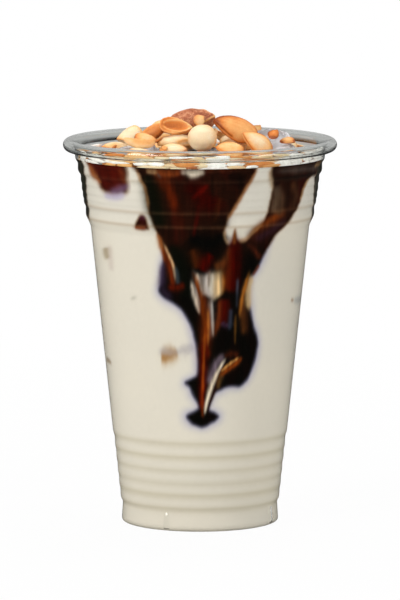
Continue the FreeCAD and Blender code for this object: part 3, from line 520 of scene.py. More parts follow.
# Streaks inside the coffee: colour, softness in mm, strength, path of (azimuth, height, half width in mm).
STREAKS = (
    # the upper plume: black at its left and in its core, dark red between, an orange glow beside it
    ((9, 11, 4), 3.6, 0.95, (
        (-26.5, 130, 1), (-24, 126, 2), (-22.6, 120, 2.6), (-21, 114, 2.2), (-19, 109, 1.2),
    )),
    ((14, 5, 3), 3, 0.9, ((13, 130, 1), (18, 127.6, 2.4), (22, 126.6, 1.4))),
    ((16, 8, 4), 3, 0.8, ((6, 116, 1), (10, 113, 2), (11, 110, 1))),
    ((4, 4, 3), 3.4, 0.97, (
        (-6, 107.6, 1.2), (-2, 105.6, 3), (5, 104.6, 4), (10, 106, 2.6), (12.6, 109, 1),
    )),
    ((7, 9, 4), 2.6, 0.9, (
        (-14, 105, 1), (-13, 101, 2.2), (-10, 96, 2.2), (-8.6, 90, 1.8), (-6, 84, 1.2),
    )),
    ((48, 2, 0), 3, 0.85, ((-8, 127, 1.5), (0, 123, 3.6), (6, 118.6, 3.4), (9, 122, 1.6))),
    ((52, 14, 4), 2.6, 0.7, ((-14.6, 124, 1), (-12, 118, 1.6), (-10.6, 113.6, 1.4), (-9.6, 108.6, 0.6))),
    ((86, 26, 4), 2.6, 0.8, (
        (-20.6, 129.6, 0.5), (-17.6, 127, 1.3), (-15.2, 124.4, 1.4), (-13.2, 120.6, 0.8),
        (-12, 115.6, 0.4),
    )),
    ((90, 8, 2), 1.1, 0.7, ((4.4, 126.2, 0.2), (0.6, 123.6, 0.5), (-4.2, 120.6, 0.25))),
    ((74, 8, 3), 0.9, 0.7, ((-0.6, 119.6, 0.15), (-1.4, 113.6, 0.35), (-3.8, 106.6, 0.15))),
    ((52, 22, 6), 1.2, 0.6, ((10, 122, 0.3), (8.4, 117, 0.6), (7.2, 112, 0.3))),
    # under the neck: tan, orange and a white blob of milk
    ((122, 54, 20), 1.2, 0.9, (
        (-22.5, 129.6, 0.4), (-17, 129.7, 0.9), (-12, 129.7, 0.8), (-8.6, 130.2, 0.3),
    )),
    ((176, 140, 98), 0.8, 0.85, ((-25.4, 130.8, 0.3), (-22.4, 129.9, 0.6), (-19.6, 130.8, 0.3))),
    ((228, 214, 192), 1.1, 0.95, (
        (-9.4, 131, 0.3), (-6, 130.2, 0.8), (-3.2, 129.4, 1.2), (-0.4, 130.2, 0.8), (2.8, 131, 0.3),
    )),
    ((58, 62, 66), 0.6, 0.6, ((-20.2, 129.8, 0.2), (-19.2, 128.8, 0.3), (-18.2, 127.8, 0.2))),
    ((116, 54, 26), 0.6, 0.8, ((2, 131, 0.2), (12, 130.9, 0.35), (23, 130.9, 0.2))),
    # the left edge: an orange band with a tan line, and its rust foot
    ((150, 108, 68), 0.9, 0.6, (
        (-30.8, 130.6, 0.2), (-28.8, 127.2, 0.3), (-26.4, 122.6, 0.3), (-25.6, 115.6, 0.2),
    )),
    ((140, 78, 36), 1, 0.9, (
        (-22.6, 108.6, 0.3), (-20.8, 104.4, 0.9), (-19.4, 101, 0.6), (-18.4, 97.4, 0.3),
    )),
    ((90, 30, 6), 1.3, 0.95, (
        (-19.6, 104, 0.3), (-17.6, 98.6, 0.9), (-16.2, 95, 1.2), (-15.2, 91.8, 1.1), (-14.6, 88.8, 0.6),
    )),
    ((74, 16, 3), 1.3, 0.95, ((-18.6, 89, 0.6), (-14, 88.6, 1.3), (-11.4, 89, 1.1), (-7.6, 90, 0.5))),
    ((192, 152, 110), 0.5, 0.95, (
        (-20, 105.4, 0.15), (-17, 101, 0.3), (-15, 98, 0.35), (-14, 95.4, 0.3), (-13.2, 90.4, 0.15),
    )),
    ((58, 72, 80), 1.1, 0.7, ((-13.4, 96.6, 0.2), (-12.4, 92.4, 0.5), (-12, 89.8, 0.3))),
    ((44, 30, 50), 2, 0.7, ((-20, 98.6, 0.3), (-20.8, 92, 0.8), (-20.6, 87.6, 0.9), (-14.4, 84, 0.4))),
    # above the window: brown and dark red, orange at its upper right corner
    ((64, 26, 6), 2.4, 0.9, ((-4.6, 103, 0.6), (-2.2, 99, 1.4), (-0.8, 95.4, 0.8))),
    ((66, 4, 0), 2.2, 0.95, ((6.4, 101, 0.8), (3.4, 98, 2), (0.6, 94.4, 0.9))),
    ((106, 54, 20), 2, 0.85, ((17.2, 104.2, 0.4), (14.6, 99.4, 1), (11.8, 97.2, 1.1), (6.6, 95.8, 0.5))),
    ((96, 34, 6), 1.8, 0.9, ((17, 101.8, 0.4), (16.2, 96.4, 1.2), (16, 91.6, 1.3), (15, 86.6, 0.6))),
    ((56, 3, 0), 2.4, 0.95, ((18.2, 108, 0.8), (18.8, 99, 1.8), (18.8, 92, 1.7), (17.8, 86, 0.9))),
    # below the window: the long orange vein that turns red, and what lies beside it
    ((206, 190, 172), 0.9, 0.9, ((-5.1, 92, 0.1), (-3.3, 86.3, 0.6), (-1.8, 83, 0.6), (0.3, 78.6, 0.1))),
    ((116, 100, 94), 1.4, 0.85, ((5.4, 85.6, 0.8), (5.6, 79.6, 1.3), (6, 75.2, 1.2), (5.8, 69.6, 0.4))),
    ((86, 28, 5), 2, 0.9, (
        (1.2, 88, 0.5), (2.4, 81, 1.2), (3.4, 74.6, 1.9), (3.2, 68.6, 1.7), (2.2, 61, 1.4),
    )),
    ((106, 42, 6), 1, 0.95, (
        (-2.9, 94.6, 0.1), (-1.2, 89.2, 0.35), (0.7, 85, 0.6), (1.7, 81, 0.7), (2.5, 76.6, 0.8),
        (3, 71.6, 0.8), (2.8, 65.6, 0.4),
    )),
    ((150, 88, 36), 0.6, 0.8, ((4.2, 81.6, 0.15), (4.7, 76.6, 0.3), (4.8, 71.6, 0.3), (4.4, 67, 0.1))),
    ((78, 8, 0), 1.4, 0.95, (
        (3, 71, 0.6), (2.3, 63.2, 1.3), (1.9, 55.6, 1.3), (1.5, 49.2, 0.9), (1.6, 43, 0.4),
    )),
    ((132, 62, 14), 0.6, 0.85, ((2.9, 73.4, 0.2), (2.5, 66.4, 0.35), (2, 58, 0.3), (1.6, 50, 0.15))),
    ((118, 44, 8), 0.7, 0.7, ((1.6, 59, 0.15), (1.4, 52, 0.35), (1.5, 45, 0.2), (1.9, 41.6, 0.1))),
    ((190, 184, 176), 0.5, 0.95, ((6.4, 85, 0.3), (6.9, 79, 0.35), (7.3, 75, 0.3), (7.7, 70.8, 0.1))),
    ((100, 42, 14), 1.3, 0.9, ((11.6, 85.6, 0.5), (10.9, 79.8, 0.9), (10.1, 76, 0.8), (8.4, 70.6, 0.3))),
    ((64, 6, 1), 2, 0.9, ((14, 85, 0.8), (14.4, 80.6, 1.2), (13.8, 75, 0.6))),
    ((66, 40, 62), 1.2, 0.8, ((12.8, 76.6, 0.3), (14.4, 75, 0.7), (16, 75.8, 0.3))),
    ((50, 56, 72), 1.1, 0.75, ((17.4, 81.4, 0.2), (17.4, 77, 0.6), (17, 73, 0.3))),
    ((54, 60, 72), 0.7, 0.8, ((20.8, 92.4, 0.15), (20.8, 86.4, 0.35), (20.9, 80.6, 0.15))),
    ((84, 44, 16), 2, 0.85, (
        (26.4, 91, 0.4), (24.8, 84.4, 0.9), (25.4, 79, 1.2), (25.8, 74.6, 1), (26, 70.6, 0.3),
    )),
    ((196, 164, 116), 1.6, 0.85, (
        (29.2, 93.4, 0.3), (27.8, 88.6, 0.9), (27.4, 84.6, 0.9), (29, 79.4, 0.3),
    )),
    ((154, 90, 30), 0.8, 0.95, (
        (28, 95, 0.2), (25.9, 89.8, 0.45), (24.6, 86.8, 0.5), (23.7, 83.6, 0.45), (23.1, 80.4, 0.4),
        (22.8, 76.6, 0.15),
    )),
    ((102, 64, 22), 0.7, 0.75, ((20.4, 79.6, 0.1), (20.6, 73.6, 0.3), (20.8, 67.4, 0.1))),
    ((110, 44, 20), 0.8, 0.7, ((29.6, 92.4, 0.2), (31.6, 94.4, 0.5), (33.6, 96.4, 0.2))),
    # the lower lobe: a cream streak beside a violet one, and an orange branch
    ((98, 84, 94), 1.7, 0.95, ((14.6, 65.4, 0.3), (10.5, 61.6, 1.1), (7.8, 58.2, 1.2), (5.4, 53, 0.6))),
    ((232, 216, 190), 0.5, 1, (
        (16.3, 64, 0.15), (13.2, 60.9, 0.5), (10.6, 57.9, 0.8), (8.4, 54.9, 0.95), (6.3, 51.7, 1.05),
        (4.7, 48.4, 0.8), (3.4, 44.6, 0.35), (3, 42.4, 0.1),
    )),
    ((26, 6, 2), 0.4, 0.95, (
        (16, 62.6, 0.15), (12.9, 58.8, 0.35), (10.8, 55, 0.5), (8.6, 51, 0.6), (6, 46.6, 0.5),
        (4.4, 42.8, 0.2),
    )),
    ((110, 76, 36), 1.4, 0.8, ((13.6, 58.2, 0.3), (12, 55, 0.7), (10.8, 51.8, 0.3))),
    ((66, 24, 8), 1.6, 0.85, ((14.4, 63.4, 0.4), (18.6, 64.8, 0.9), (24, 63.6, 0.5))),
    ((138, 60, 14), 0.8, 0.95, (
        (11.4, 56.4, 0.4), (15.6, 58.6, 0.9), (19.5, 60.2, 0.9), (23.2, 61.8, 0.7), (26, 63.6, 0.2),
    )),
    ((212, 148, 78), 0.4, 0.95, ((12, 58.2, 0.3), (17.7, 61, 0.4), (24.2, 63.4, 0.2))),
    # the arm to the upper right
    ((54, 22, 10), 2.6, 0.8, (
        (24, 106, 1), (31, 107.6, 1.8), (39, 111.2, 1.8), (47, 114.6, 1.4), (55, 119, 0.8),
    )),
    ((106, 46, 12), 1.8, 0.9, ((27.4, 108, 0.3), (33.4, 110.6, 0.8), (40, 112.9, 1), (48.2, 114.6, 0.5))),
    ((48, 26, 40), 1.8, 0.6, (
        (29.3, 105.2, 0.4), (35.4, 107, 0.9), (41.8, 109.2, 0.8), (49, 112.4, 0.4),
    )),
    ((70, 26, 12), 1.4, 0.75, ((25.5, 104.4, 0.3), (30, 101.6, 0.7), (34.6, 98, 0.3))),
    ((122, 104, 82), 4, 0.5, ((38.2, 124.6, 0.4), (40.4, 120.2, 1.2), (38, 114.4, 0.6))),
    ((70, 50, 34), 3.4, 0.7, ((41.2, 121.6, 0.4), (43.6, 117.6, 1), (42, 113.4, 0.6))),
    ((62, 36, 20), 2.4, 0.85, ((49.2, 125.4, 0.6), (53.6, 120.4, 1.2), (51.2, 114.4, 0.7))),
    ((170, 130, 86), 0.9, 0.8, ((65.6, 125.8, 0.2), (60.4, 122.8, 0.4), (58.2, 117.6, 0.2))),
    # the band just under the neck on the right
    ((70, 60, 54), 1.4, 0.85, (
        (36, 129.9, 0.4), (48, 129.6, 1), (58, 129.4, 1.1), (68, 129, 1), (78, 128.8, 0.8),
    )),
    ((6, 5, 4), 0.5, 0.9, ((33, 127, 0.2), (46, 126.9, 0.4), (60, 126.9, 0.4), (74, 126.8, 0.3))),
    ((168, 136, 92), 0.7, 0.75, ((67.6, 130, 0.2), (73, 129.9, 0.5), (80, 130, 0.4))),
)
PATCH_STREAKS = (
    ((150, 84, 44), 1.6, 0.9, ((-64.4, 130.8, 0.8), (-61.4, 128.6, 1.6), (-58, 126, 1), (-56, 124, 0.4))),
    ((120, 52, 24), 1.2, 0.7, ((-40.4, 130.8, 0.5), (-38.6, 128, 0.9), (-38, 124.6, 0.5))),
    ((104, 78, 104), 1.6, 0.8, (
        (-49.5, 121.6, 0.5), (-44, 122.6, 1.2), (-38.4, 123.8, 0.9), (-36.6, 125.6, 0.3),
    )),
    ((176, 166, 196), 1.8, 0.7, ((-54, 120.4, 0.5), (-46, 120.2, 0.9), (-38, 121.4, 0.6))),
)
DROP_STREAKS = (
    ((132, 64, 34), 0.5, 0.95, ((-35.4, 109.6, 0.25), (-31.5, 109.8, 0.6), (-28, 109.8, 0.5))),
    ((72, 34, 50), 0.8, 0.7, ((-32, 112.8, 0.5), (-30, 113.6, 0.5), (-28.2, 112.6, 0.3))),
)
# Tones across the window: colour, and where along the wall, in mm, it starts and is full.
WINDOW_TONES = (((188, 160, 118), 3, 6.5), ((150, 84, 24), 6.6, 9.2), ((104, 28, 2), 8.8, 10.6))
WINDOW_BARS = (
    ((54, 30, 18), 0.7, 0.9, ((-4.4, 95.6, 0.2), (-3.2, 91.6, 0.3), (-1.2, 87.6, 0.3), (0.8, 83.8, 0.3))),
    ((196, 180, 160), 0.6, 0.85, ((-1.4, 94.2, 0.3), (-1.2, 91.2, 0.4), (-0.6, 88.4, 0.3))),
    ((122, 104, 90), 0.5, 0.7, ((0.6, 94, 0.2), (1, 90.4, 0.3), (2, 86.8, 0.2))),
    ((120, 104, 88), 0.5, 0.8, ((5.2, 95, 0.2), (4.9, 91.6, 0.3), (4.8, 88.8, 0.15))),
    ((206, 196, 176), 0.6, 0.85, (
        (6.6, 94.4, 0.3), (6.4, 91.4, 0.4), (6.2, 88.4, 0.4), (6.8, 85.4, 0.3),
    )),
    ((200, 168, 122), 1.2, 0.7, ((9.6, 92, 0.6), (9.8, 88.4, 0.9), (9, 85.6, 0.5))),
)
WEDGE_STREAKS = (
    ((150, 98, 58), 0.9, 0.75, (
        (27.4, 131.2, 0.2), (24.4, 127, 0.35), (20.4, 121.6, 0.4), (16.6, 116.9, 0.35),
        (13.4, 112.6, 0.2),
    )),
    ((176, 140, 102), 0.8, 0.7, ((12.6, 109.6, 0.2), (13.2, 106.4, 0.3), (15.2, 104.4, 0.2))),
    ((116, 62, 26), 0.8, 0.95, ((17.8, 110.2, 0.2), (18.1, 107, 0.4), (18.2, 103.8, 0.5))),
    ((160, 118, 78), 1, 0.65, (
        (20.2, 105.6, 0.2), (24.2, 105.6, 0.4), (28.4, 108.4, 0.3), (33, 111.2, 0.2),
    )),
    ((172, 148, 118), 1.4, 0.7, ((34.8, 130.8, 0.3), (35, 127.4, 0.5), (37.4, 123.2, 0.6))),
)
# Faint marks of ice close behind the milk: colour, softness, strength, path.
SMUDGES = (
    ((150, 132, 104), 3.2, 0.75, ((-60.5, 101.2, 1.2), (-60.2, 99, 1.6), (-59.4, 96.6, 0.7))),
    ((196, 180, 170), 3, 0.5, ((-56.5, 103, 0.5), (-56.5, 96, 0.8), (-57, 92.5, 0.4))),
    ((172, 166, 150), 1.6, 0.6, ((-40.2, 84.6, 0.4), (-39.6, 83.4, 0.3))),
    ((158, 112, 62), 2.2, 0.95, (
        (-24.2, 63.6, 1.6), (-20.6, 63.7, 2.4), (-16.4, 64.8, 2.2), (-12.6, 65.6, 1),
    )),
    ((168, 160, 162), 2.2, 0.6, ((-26, 66, 0.5), (-17, 65.2, 0.9), (-8, 66.4, 1), (-2.6, 68.4, 0.9))),
    ((146, 124, 100), 1, 0.75, ((-80, 59, 0.5), (-73, 58.9, 0.5), (-68, 58.7, 0.2))),
    ((148, 116, 92), 1, 0.8, ((62.6, 81.8, 0.3), (64.6, 81.7, 0.4), (66.6, 81.4, 0.2))),
    ((160, 160, 158), 2.2, 0.6, ((66, 81.5, 0.5), (76, 81, 0.9), (88, 81, 0.9))),
)


def smooth_line(points, closed, steps=6):
    """Points along a smooth curve through the given ones."""
    points = np.array(points, float)
    count = len(points)
    if closed:
        padded = np.vstack([points[-1:], points, points[:2]])
        spans = count
    else:
        padded = np.vstack([2 * points[:1] - points[1:2], points, 2 * points[-1:] - points[-2:-1]])
        spans = count - 1
    out = []
    for span in range(spans):
        a, b, c, d = padded[span:span + 4]
        bend, twist = 2 * a - 5 * b + 4 * c - d, 3 * b - a - 3 * c + d
        for t in np.arange(steps) / steps:
            out.append(0.5 * (2 * b + (c - a) * t + bend * t * t + twist * t ** 3))
    if not closed:
        out.append(points[-1])
    return np.array(out)


def unrolled(azimuth, height):
    """A place on the wall laid flat, in millimetres."""
    return np.stack([np.radians(azimuth) * wall_radius(height), height], -1)


def near(spots, line, margin):
    """Which spots lie in the line's box and a margin round it."""
    low, high = line.min(0) - margin, line.max(0) + margin
    return np.all((spots >= low) & (spots <= high), 1)


def distance_to_line(spots, line, widths):
    """Distance from each spot to a line, the half width at the nearest place, and how far on that is."""
    best = np.full(len(spots), 1e9)
    width = np.zeros(len(spots))
    on = np.zeros(len(spots))
    for index in range(len(line) - 1):
        a, b = line[index], line[index + 1]
        way = b - a
        share = np.clip(((spots - a) @ way) / max(way @ way, 1e-12), 0, 1)
        gap = np.linalg.norm(spots - a - share[:, None] * way, axis=1)
        closer = gap < best
        best = np.where(closer, gap, best)
        width = np.where(closer, widths[index] + share * (widths[index + 1] - widths[index]), width)
        on = np.where(closer, (index + share) / (len(line) - 1), on)
    return best, width, on


def inside_outline(spots, line):
    """Whether each spot lies inside a closed line."""
    inside = np.zeros(len(spots), bool)
    x, y = spots[:, 0], spots[:, 1]
    for a, b in zip(line, np.roll(line, -1, 0)):
        if a[1] == b[1]:
            continue
        crosses = (a[1] > y) != (b[1] > y)
        inside ^= crosses & (x < (b[0] - a[0]) * (y - a[1]) / (b[1] - a[1]) + a[0])
    return inside


FAR = 30.0
OUTLINE_MARGIN = 9.0


def outline_depth(spots, outline):
    """How deep each spot is inside a closed outline; negative outside."""
    line = unrolled(*smooth_line(outline, True).T)
    depth = np.full(len(spots), -FAR)
    chosen = near(spots, line, OUTLINE_MARGIN)
    ring = np.vstack([line, line[:1]])
    gap, _, _ = distance_to_line(spots[chosen], ring, np.zeros(len(ring)))
    depth[chosen] = np.where(inside_outline(spots[chosen], line), gap, -gap)
    return depth


def paint(colours, colour, share):
    """Lays a colour over others by a share at each spot."""
    return colours + (np.asarray(colour) - colours) * share[:, None]


def paint_streak(colours, spots, streak, wobble):
    """Lays one soft streak over the colours, strongest along its middle and fading at its ends."""
    colour, softness, strength, path = streak
    line = smooth_line(path, False)
    flat = unrolled(line[:, 0], line[:, 1])
    chosen = near(spots, flat, 2.0 * softness + 4.0)
    gap, width, on = distance_to_line(spots[chosen], flat, line[:, 2])
    gap = np.maximum(gap + wobble[chosen] * min(0.3, 0.25 * softness), 0)
    ends = smoothstep(-0.02, 0.16, on) * smoothstep(-0.02, 0.16, 1 - on)
    share = np.zeros(len(spots))
    share[chosen] = np.exp(-(gap / (0.7 * width + 0.45 * softness)) ** 2) * strength * ends
    return paint(colours, tint(*colour), share)


def paint_streaks(colours, spots, streaks, wobble):
    """Lays streaks one over the other."""
    for streak in streaks:
        colours = paint_streak(colours, spots, streak, wobble)
    return colours


def value_noise(spots, size, seed):
    """Smooth noise from -1 to 1 over flat places, with cells of a size in millimetres."""
    rng = np.random.RandomState(seed)
    table = rng.uniform(-1, 1, (64, 64))
    grid = spots / np.asarray(size)
    cell = np.floor(grid).astype(int)
    share = grid - cell
    share = share * share * (3 - 2 * share)
    x0, y0 = cell[:, 0] % 64, cell[:, 1] % 64
    x1, y1 = (x0 + 1) % 64, (y0 + 1) % 64
    low = table[x0, y0] * (1 - share[:, 0]) + table[x1, y0] * share[:, 0]
    high = table[x0, y1] * (1 - share[:, 0]) + table[x1, y1] * share[:, 0]
    return low * (1 - share[:, 1]) + high * share[:, 1]


# How much red, green and blue is lost in the shade under a ledge.
LEDGE_LOSS = np.array([0.26, 0.3, 0.44])
# Where a step of the shoulder shows as a thin tan line of painted light and shade: height, strength.
LEDGE_LIGHT_AND_SHADE = ((115.3, 0.24), (110.4, 0.28), (126.6, 0.14))


def ledge_shade(height):
    """How much of the light is lost just under each step of the wall, from 0 to 1."""
    ledges = [(RIB_START + rib * RIB_PITCH, 1.0, 0.9) for rib in range(RIB_COUNT)]
    ledges += [(TAPER_START[1], 1.0, 0.9)]
    ledges += [(CUP_HEIGHT - drop, depth, 0.5) for _, drop, _, depth in SHOULDER]
    shade = np.zeros(len(height))
    for ledge, depth, fade in ledges:
        below = ledge - height
        here = depth * smoothstep(-0.5, 0.25, below) * np.exp(-np.maximum(below, 0) / fade)
        shade = np.maximum(shade, here)
    return shade


# The coffee round the sides and the back: the azimuths between which it is absent, its lower edge,
# and its drips: where they start, how far apart a degree puts them, the longest, and the highest gap.
SIDE_LEFT = -69.5
SIDE_RIGHT = 72.0
SIDE_LOW = 110.2
DRIP_START = -76
DRIP_SPREAD = 0.72
DRIP_LONGEST = 34
DRIP_GAP = 9


def beside_front(azimuth, height, spots):
    """How far round from the front view's edges a spot is, in millimetres along the wall."""
    edge = value_noise(spots, (5.0, 6.0), 11) * 1.2
    middle = (SIDE_LEFT + SIDE_RIGHT) / 2
    half = (SIDE_RIGHT - SIDE_LEFT) / 2
    off = np.abs((azimuth - middle + 180) % 360 - 180) - half
    return np.radians(off) * wall_radius(height) + edge * 0.8 - 0.2 * (LEVEL - height)


def back_depth(beside, azimuth, height, spots):
    """How deep a spot is in the coffee that stands round the sides and the back, near the top."""
    level = np.stack([DRIP_SPREAD * ((azimuth - DRIP_START) % 360), 0 * height], -1)
    tongues = value_noise(level, (9.0, 9.0), 71) + 0.45 * value_noise(level, (3.6, 3.6), 72)
    away = smoothstep(3, 22, beside)
    reach = DRIP_LONGEST * smoothstep(0.05, 0.95, tongues) - DRIP_GAP * smoothstep(0.0, 0.7, -tongues)
    lower = height - SIDE_LOW + away * reach - 0.8 * value_noise(spots, (4.0, 6.0), 73)
    steep = 0.35 + 0.65 * (1 - away)
    return np.minimum(lower * steep, beside)


def milk_colours(spots, height, wobble):
    """The milk, a little cooler near the top, with the marks of the ice behind it."""
    warm = 0.5 + 0.5 * value_noise(spots, (26.0, 18.0), 5)
    colours = MILK + (MILK_COOL - MILK) * (0.28 * warm)[:, None]
    colours = paint(colours, MILK_COOL, 0.35 * smoothstep(108, 116, height))
    return paint_streaks(colours, spots, SMUDGES, wobble * 1.6)


def paint_edges(colours, spots, depth, low):
    """Where milk meets coffee: a violet halo, a dark fringe low down and a tan rim high up."""
    reach = 1.2 + 3.2 * low + 0.8 * value_noise(spots, (7.0, 7.0), 8)
    halo = np.clip(1 + depth / reach, 0, 1) ** 2.2 * (0.35 + 0.45 * low)
    fringe = np.clip(1 + depth, 0, 1) ** 1.6 * 0.7 * low
    rim = np.clip(1 + depth / 0.9, 0, 1) ** 1.5 * (0.75 - 0.75 * low)
    for colour, share in ((VIOLET, halo), (FRINGE, fringe), (TAN, rim)):
        colours = paint(colours, colour, share * (depth < 2))
    return colours


def coffee_colours(spots, low):
    """The coffee, near black low down and browner and redder above."""
    red = value_noise(spots, (3.0, 11.0), 21) + 0.5 * value_noise(spots, (1.2, 6.0), 22)
    red = smoothstep(-0.4, 0.9, red)
    dark = COFFEE + (COFFEE_BROWN - COFFEE) * (0.75 * (1 - low))[:, None]
    return dark + (COFFEE_RED - COFFEE) * ((0.3 - 0.2 * low) * red)[:, None]


def side_colours(azimuth, spots, beside, dark):
    """The coffee round the sides, olive where the front view ends, then dark with orange glows."""
    mottle = value_noise(spots, (3.5, 2.2), 31) + 0.4 * value_noise(spots, (1.4, 1.0), 32)
    mottle = smoothstep(-0.2, 0.8, mottle)
    right = smoothstep(0, 40, azimuth) * smoothstep(-100, -84, -azimuth)
    side = OLIVE + (OLIVE_PALE - OLIVE) * (mottle * (0.15 + 0.6 * right))[:, None]
    round_back = smoothstep(8, 18, beside)
    side = paint(side, dark, round_back)
    glow = value_noise(spots, (3.4, 20.0), 74) + 0.5 * value_noise(spots, (1.2, 12.0), 75)
    return paint(side, GLOW, 0.75 * smoothstep(0.1, 1.0, glow) * round_back)


def paint_window(colours, spots, wobble):
    """The pale window in the plume: grey on the left, cream and orange on the right."""
    depth = outline_depth(spots, WINDOW) + 0.15 * wobble
    x, height = spots[:, 0], spots[:, 1]
    share = smoothstep(-0.5, 1.6 + 1.8 * smoothstep(90, 96, height), depth)
    pane = PANE
    for colour, start, end in WINDOW_TONES:
        pane = pane + (tint(*colour) - pane) * smoothstep(start, end, x)[:, None]
    dim = 1 - 0.35 * smoothstep(90.5, 96.5, height)
    colours = paint(colours, pane * dim[:, None], share)
    return paint_streaks(colours, spots, WINDOW_BARS, wobble)


def wall_colours(azimuth, height):
    """The drink's colour at places on the wall."""
    spots = unrolled(azimuth, height)
    wobble = value_noise(spots, (1.6, 2.6), 3) + 0.5 * value_noise(spots, (0.7, 1.3), 4)
    plume = np.minimum(outline_depth(spots, PLUME), -outline_depth(spots, WEDGE))
    patch = outline_depth(spots, PATCH) * PATCH_SOFTNESS
    drop = outline_depth(spots, DROP)
    beside = beside_front(azimuth, height, spots)
    back = back_depth(beside, azimuth, height, spots)
    depth = np.maximum(np.maximum(plume, patch), np.maximum(drop, back)) + 0.12 * wobble
    low = 1 - smoothstep(96, 108, height)
    colours = paint_edges(milk_colours(spots, height, wobble), spots, depth, low)
    dark = coffee_colours(spots, low)
    softness = 0.75 + 0.4 * low
    colours = paint(colours, dark, smoothstep(-softness * 0.6, softness, depth))
    side_share = smoothstep(-0.6, 1.2, back) * (plume < 0.5)
    colours = paint(colours, side_colours(azimuth, spots, beside, dark), side_share)
    colours = paint_window(colours, spots, wobble)
    colours = paint_streaks(colours, spots, STREAKS + WEDGE_STREAKS, wobble)
    colours = paint(colours, PATCH_RED, smoothstep(-0.2, 1.2, patch) * 0.8)
    colours = paint_streaks(colours, spots, PATCH_STREAKS + DROP_STREAKS, wobble)
    # Painted light and shade: a thin tan line at some steps, darker than the milk and lighter than the
    # coffee, for the light the steps bend and shade.
    for place, strength in LEDGE_LIGHT_AND_SHADE:
        colours = paint(colours, TAN, strength * np.exp(-((height - place) / 0.45) ** 2))
    flow = value_noise(spots, (1.1, 9.0), 51) + 0.6 * value_noise(spots, (0.5, 4.0), 52)
    colours = colours * (1 + 0.2 * (flow * smoothstep(0, 1.5, depth))[:, None])
    return to_linear(np.clip(colours, 0, 1)) * (1 - ledge_shade(height)[:, None] * LEDGE_LOSS)


def top_colours(x, y):
    """The drink's colour on its top surface, in millimetres from the axis."""
    spots = np.stack([x, y], -1)
    radius = np.hypot(x, y)
    azimuth = np.degrees(np.arctan2(x, -y))
    swirl = value_noise(spots, (9.0, 9.0), 41) + 0.5 * value_noise(spots, (4.0, 4.0), 42)
    dark = to_linear(COFFEE + (TOP_BROWN - COFFEE) * smoothstep(-0.3, 1.0, swirl)[:, None])
    edge = wall_colours(azimuth, np.full(len(x), LEVEL))
    return paint(dark, edge, smoothstep(38.5, 43.0, radius + swirl))


# ---------------------------------------------------------------- the drink

DRINK_INSET = 0.22
MENISCUS = 0.7
MENISCUS_REACH = 0.9
TOP_DROP = 0.15
DRINK_LIFT = 0.3
# Rings under the drink and on its top, from the middle out and from the wall in.
FLOOR_RINGS = (
    (0.05, PUSH_UP + DRINK_LIFT),
    (12.0, PUSH_UP + DRINK_LIFT),
    (PUSH_RADIUS, PUSH_UP + DRINK_LIFT),
    (FOOT_RADIUS - RING_WIDTH - 0.8, 0.35),
    (FOOT_RADIUS - 1.5, 0.3),
    (FOOT_RADIUS - 0.7, 0.5),
)
TOP_STEPS = (0.4, 0.9, 1.6)
TOP_RADII = (41.0, 39.5, 37.5, 35.0, 32.0, 28.5, 25.0, 21.0, 17.0, 13.0, 9.0, 5.0, 2.0, 0.05)


def drink_columns():
    """Azimuths of the drink's columns, closest together where the coffee runs."""
    parts = (
        np.arange(-76, -35, 1.0),
        np.arange(-35, 40, 0.36),
        np.arange(40, 76, 0.62),
        np.linspace(76, 284, 176, endpoint=False),
    )
    return np.concatenate(parts)


def drink_material(name, rough, specular, wet):
    """Milk and coffee, their colour read from the drink and broken up by a fine grain."""
    nodes = Nodes(name)
    grain = nodes.noise(900.0, 3.0, 0.6)
    shade = nodes.ramp(grain, (0.3, (0.965, 0.965, 0.965)), (0.7, (1.0, 1.0, 1.0)))
    colour = nodes.mix(1.0, nodes.attribute("tint").outputs["Color"], shade, "MULTIPLY")
    shader = nodes.add(
        "BsdfPrincipled",
        Base_Color=colour,
        Roughness=rough,
        IOR=1.34,
        Specular_IOR_Level=specular,
        Coat_Weight=wet,
        Coat_Roughness=0.06,
        Normal=nodes.bump(nodes.noise(60.0, 2.0, 0.4), 0.25, 0.0006),
    )
    return nodes.finish(shader.outputs[0])


def blurred(grid):
    """A colour grid softened a little along its rows and columns, as milk and coffee mix."""
    across = (np.roll(grid, 1, 1) + np.roll(grid, -1, 1)) / 2
    grid = 0.5 * grid + 0.5 * across
    up = np.vstack([grid[:1], grid[:-1]])
    down = np.vstack([grid[1:], grid[-1:]])
    return 0.6 * grid + 0.2 * (up + down)


def drink_rings():
    """Radius and height of each ring of the drink, and the number of the first ring of its top."""
    heights = np.concatenate([np.arange(1.2, 36, 1.0), np.arange(36, LEVEL - 0.6, 0.45)])
    rings = [*FLOOR_RINGS, *((wall_radius(height) - DRINK_INSET, height) for height in heights)]
    wall_top = wall_radius(LEVEL) - DRINK_INSET
    rings.append((wall_top, LEVEL + MENISCUS * 0.5))
    first_top = len(rings)
    for radius in (*(wall_top - step for step in TOP_STEPS), *TOP_RADII):
        edge = math.exp(-(wall_top - radius) / MENISCUS_REACH) * MENISCUS
        rings.append((radius, LEVEL + edge * 0.5 - TOP_DROP))
    return np.array(rings), first_top


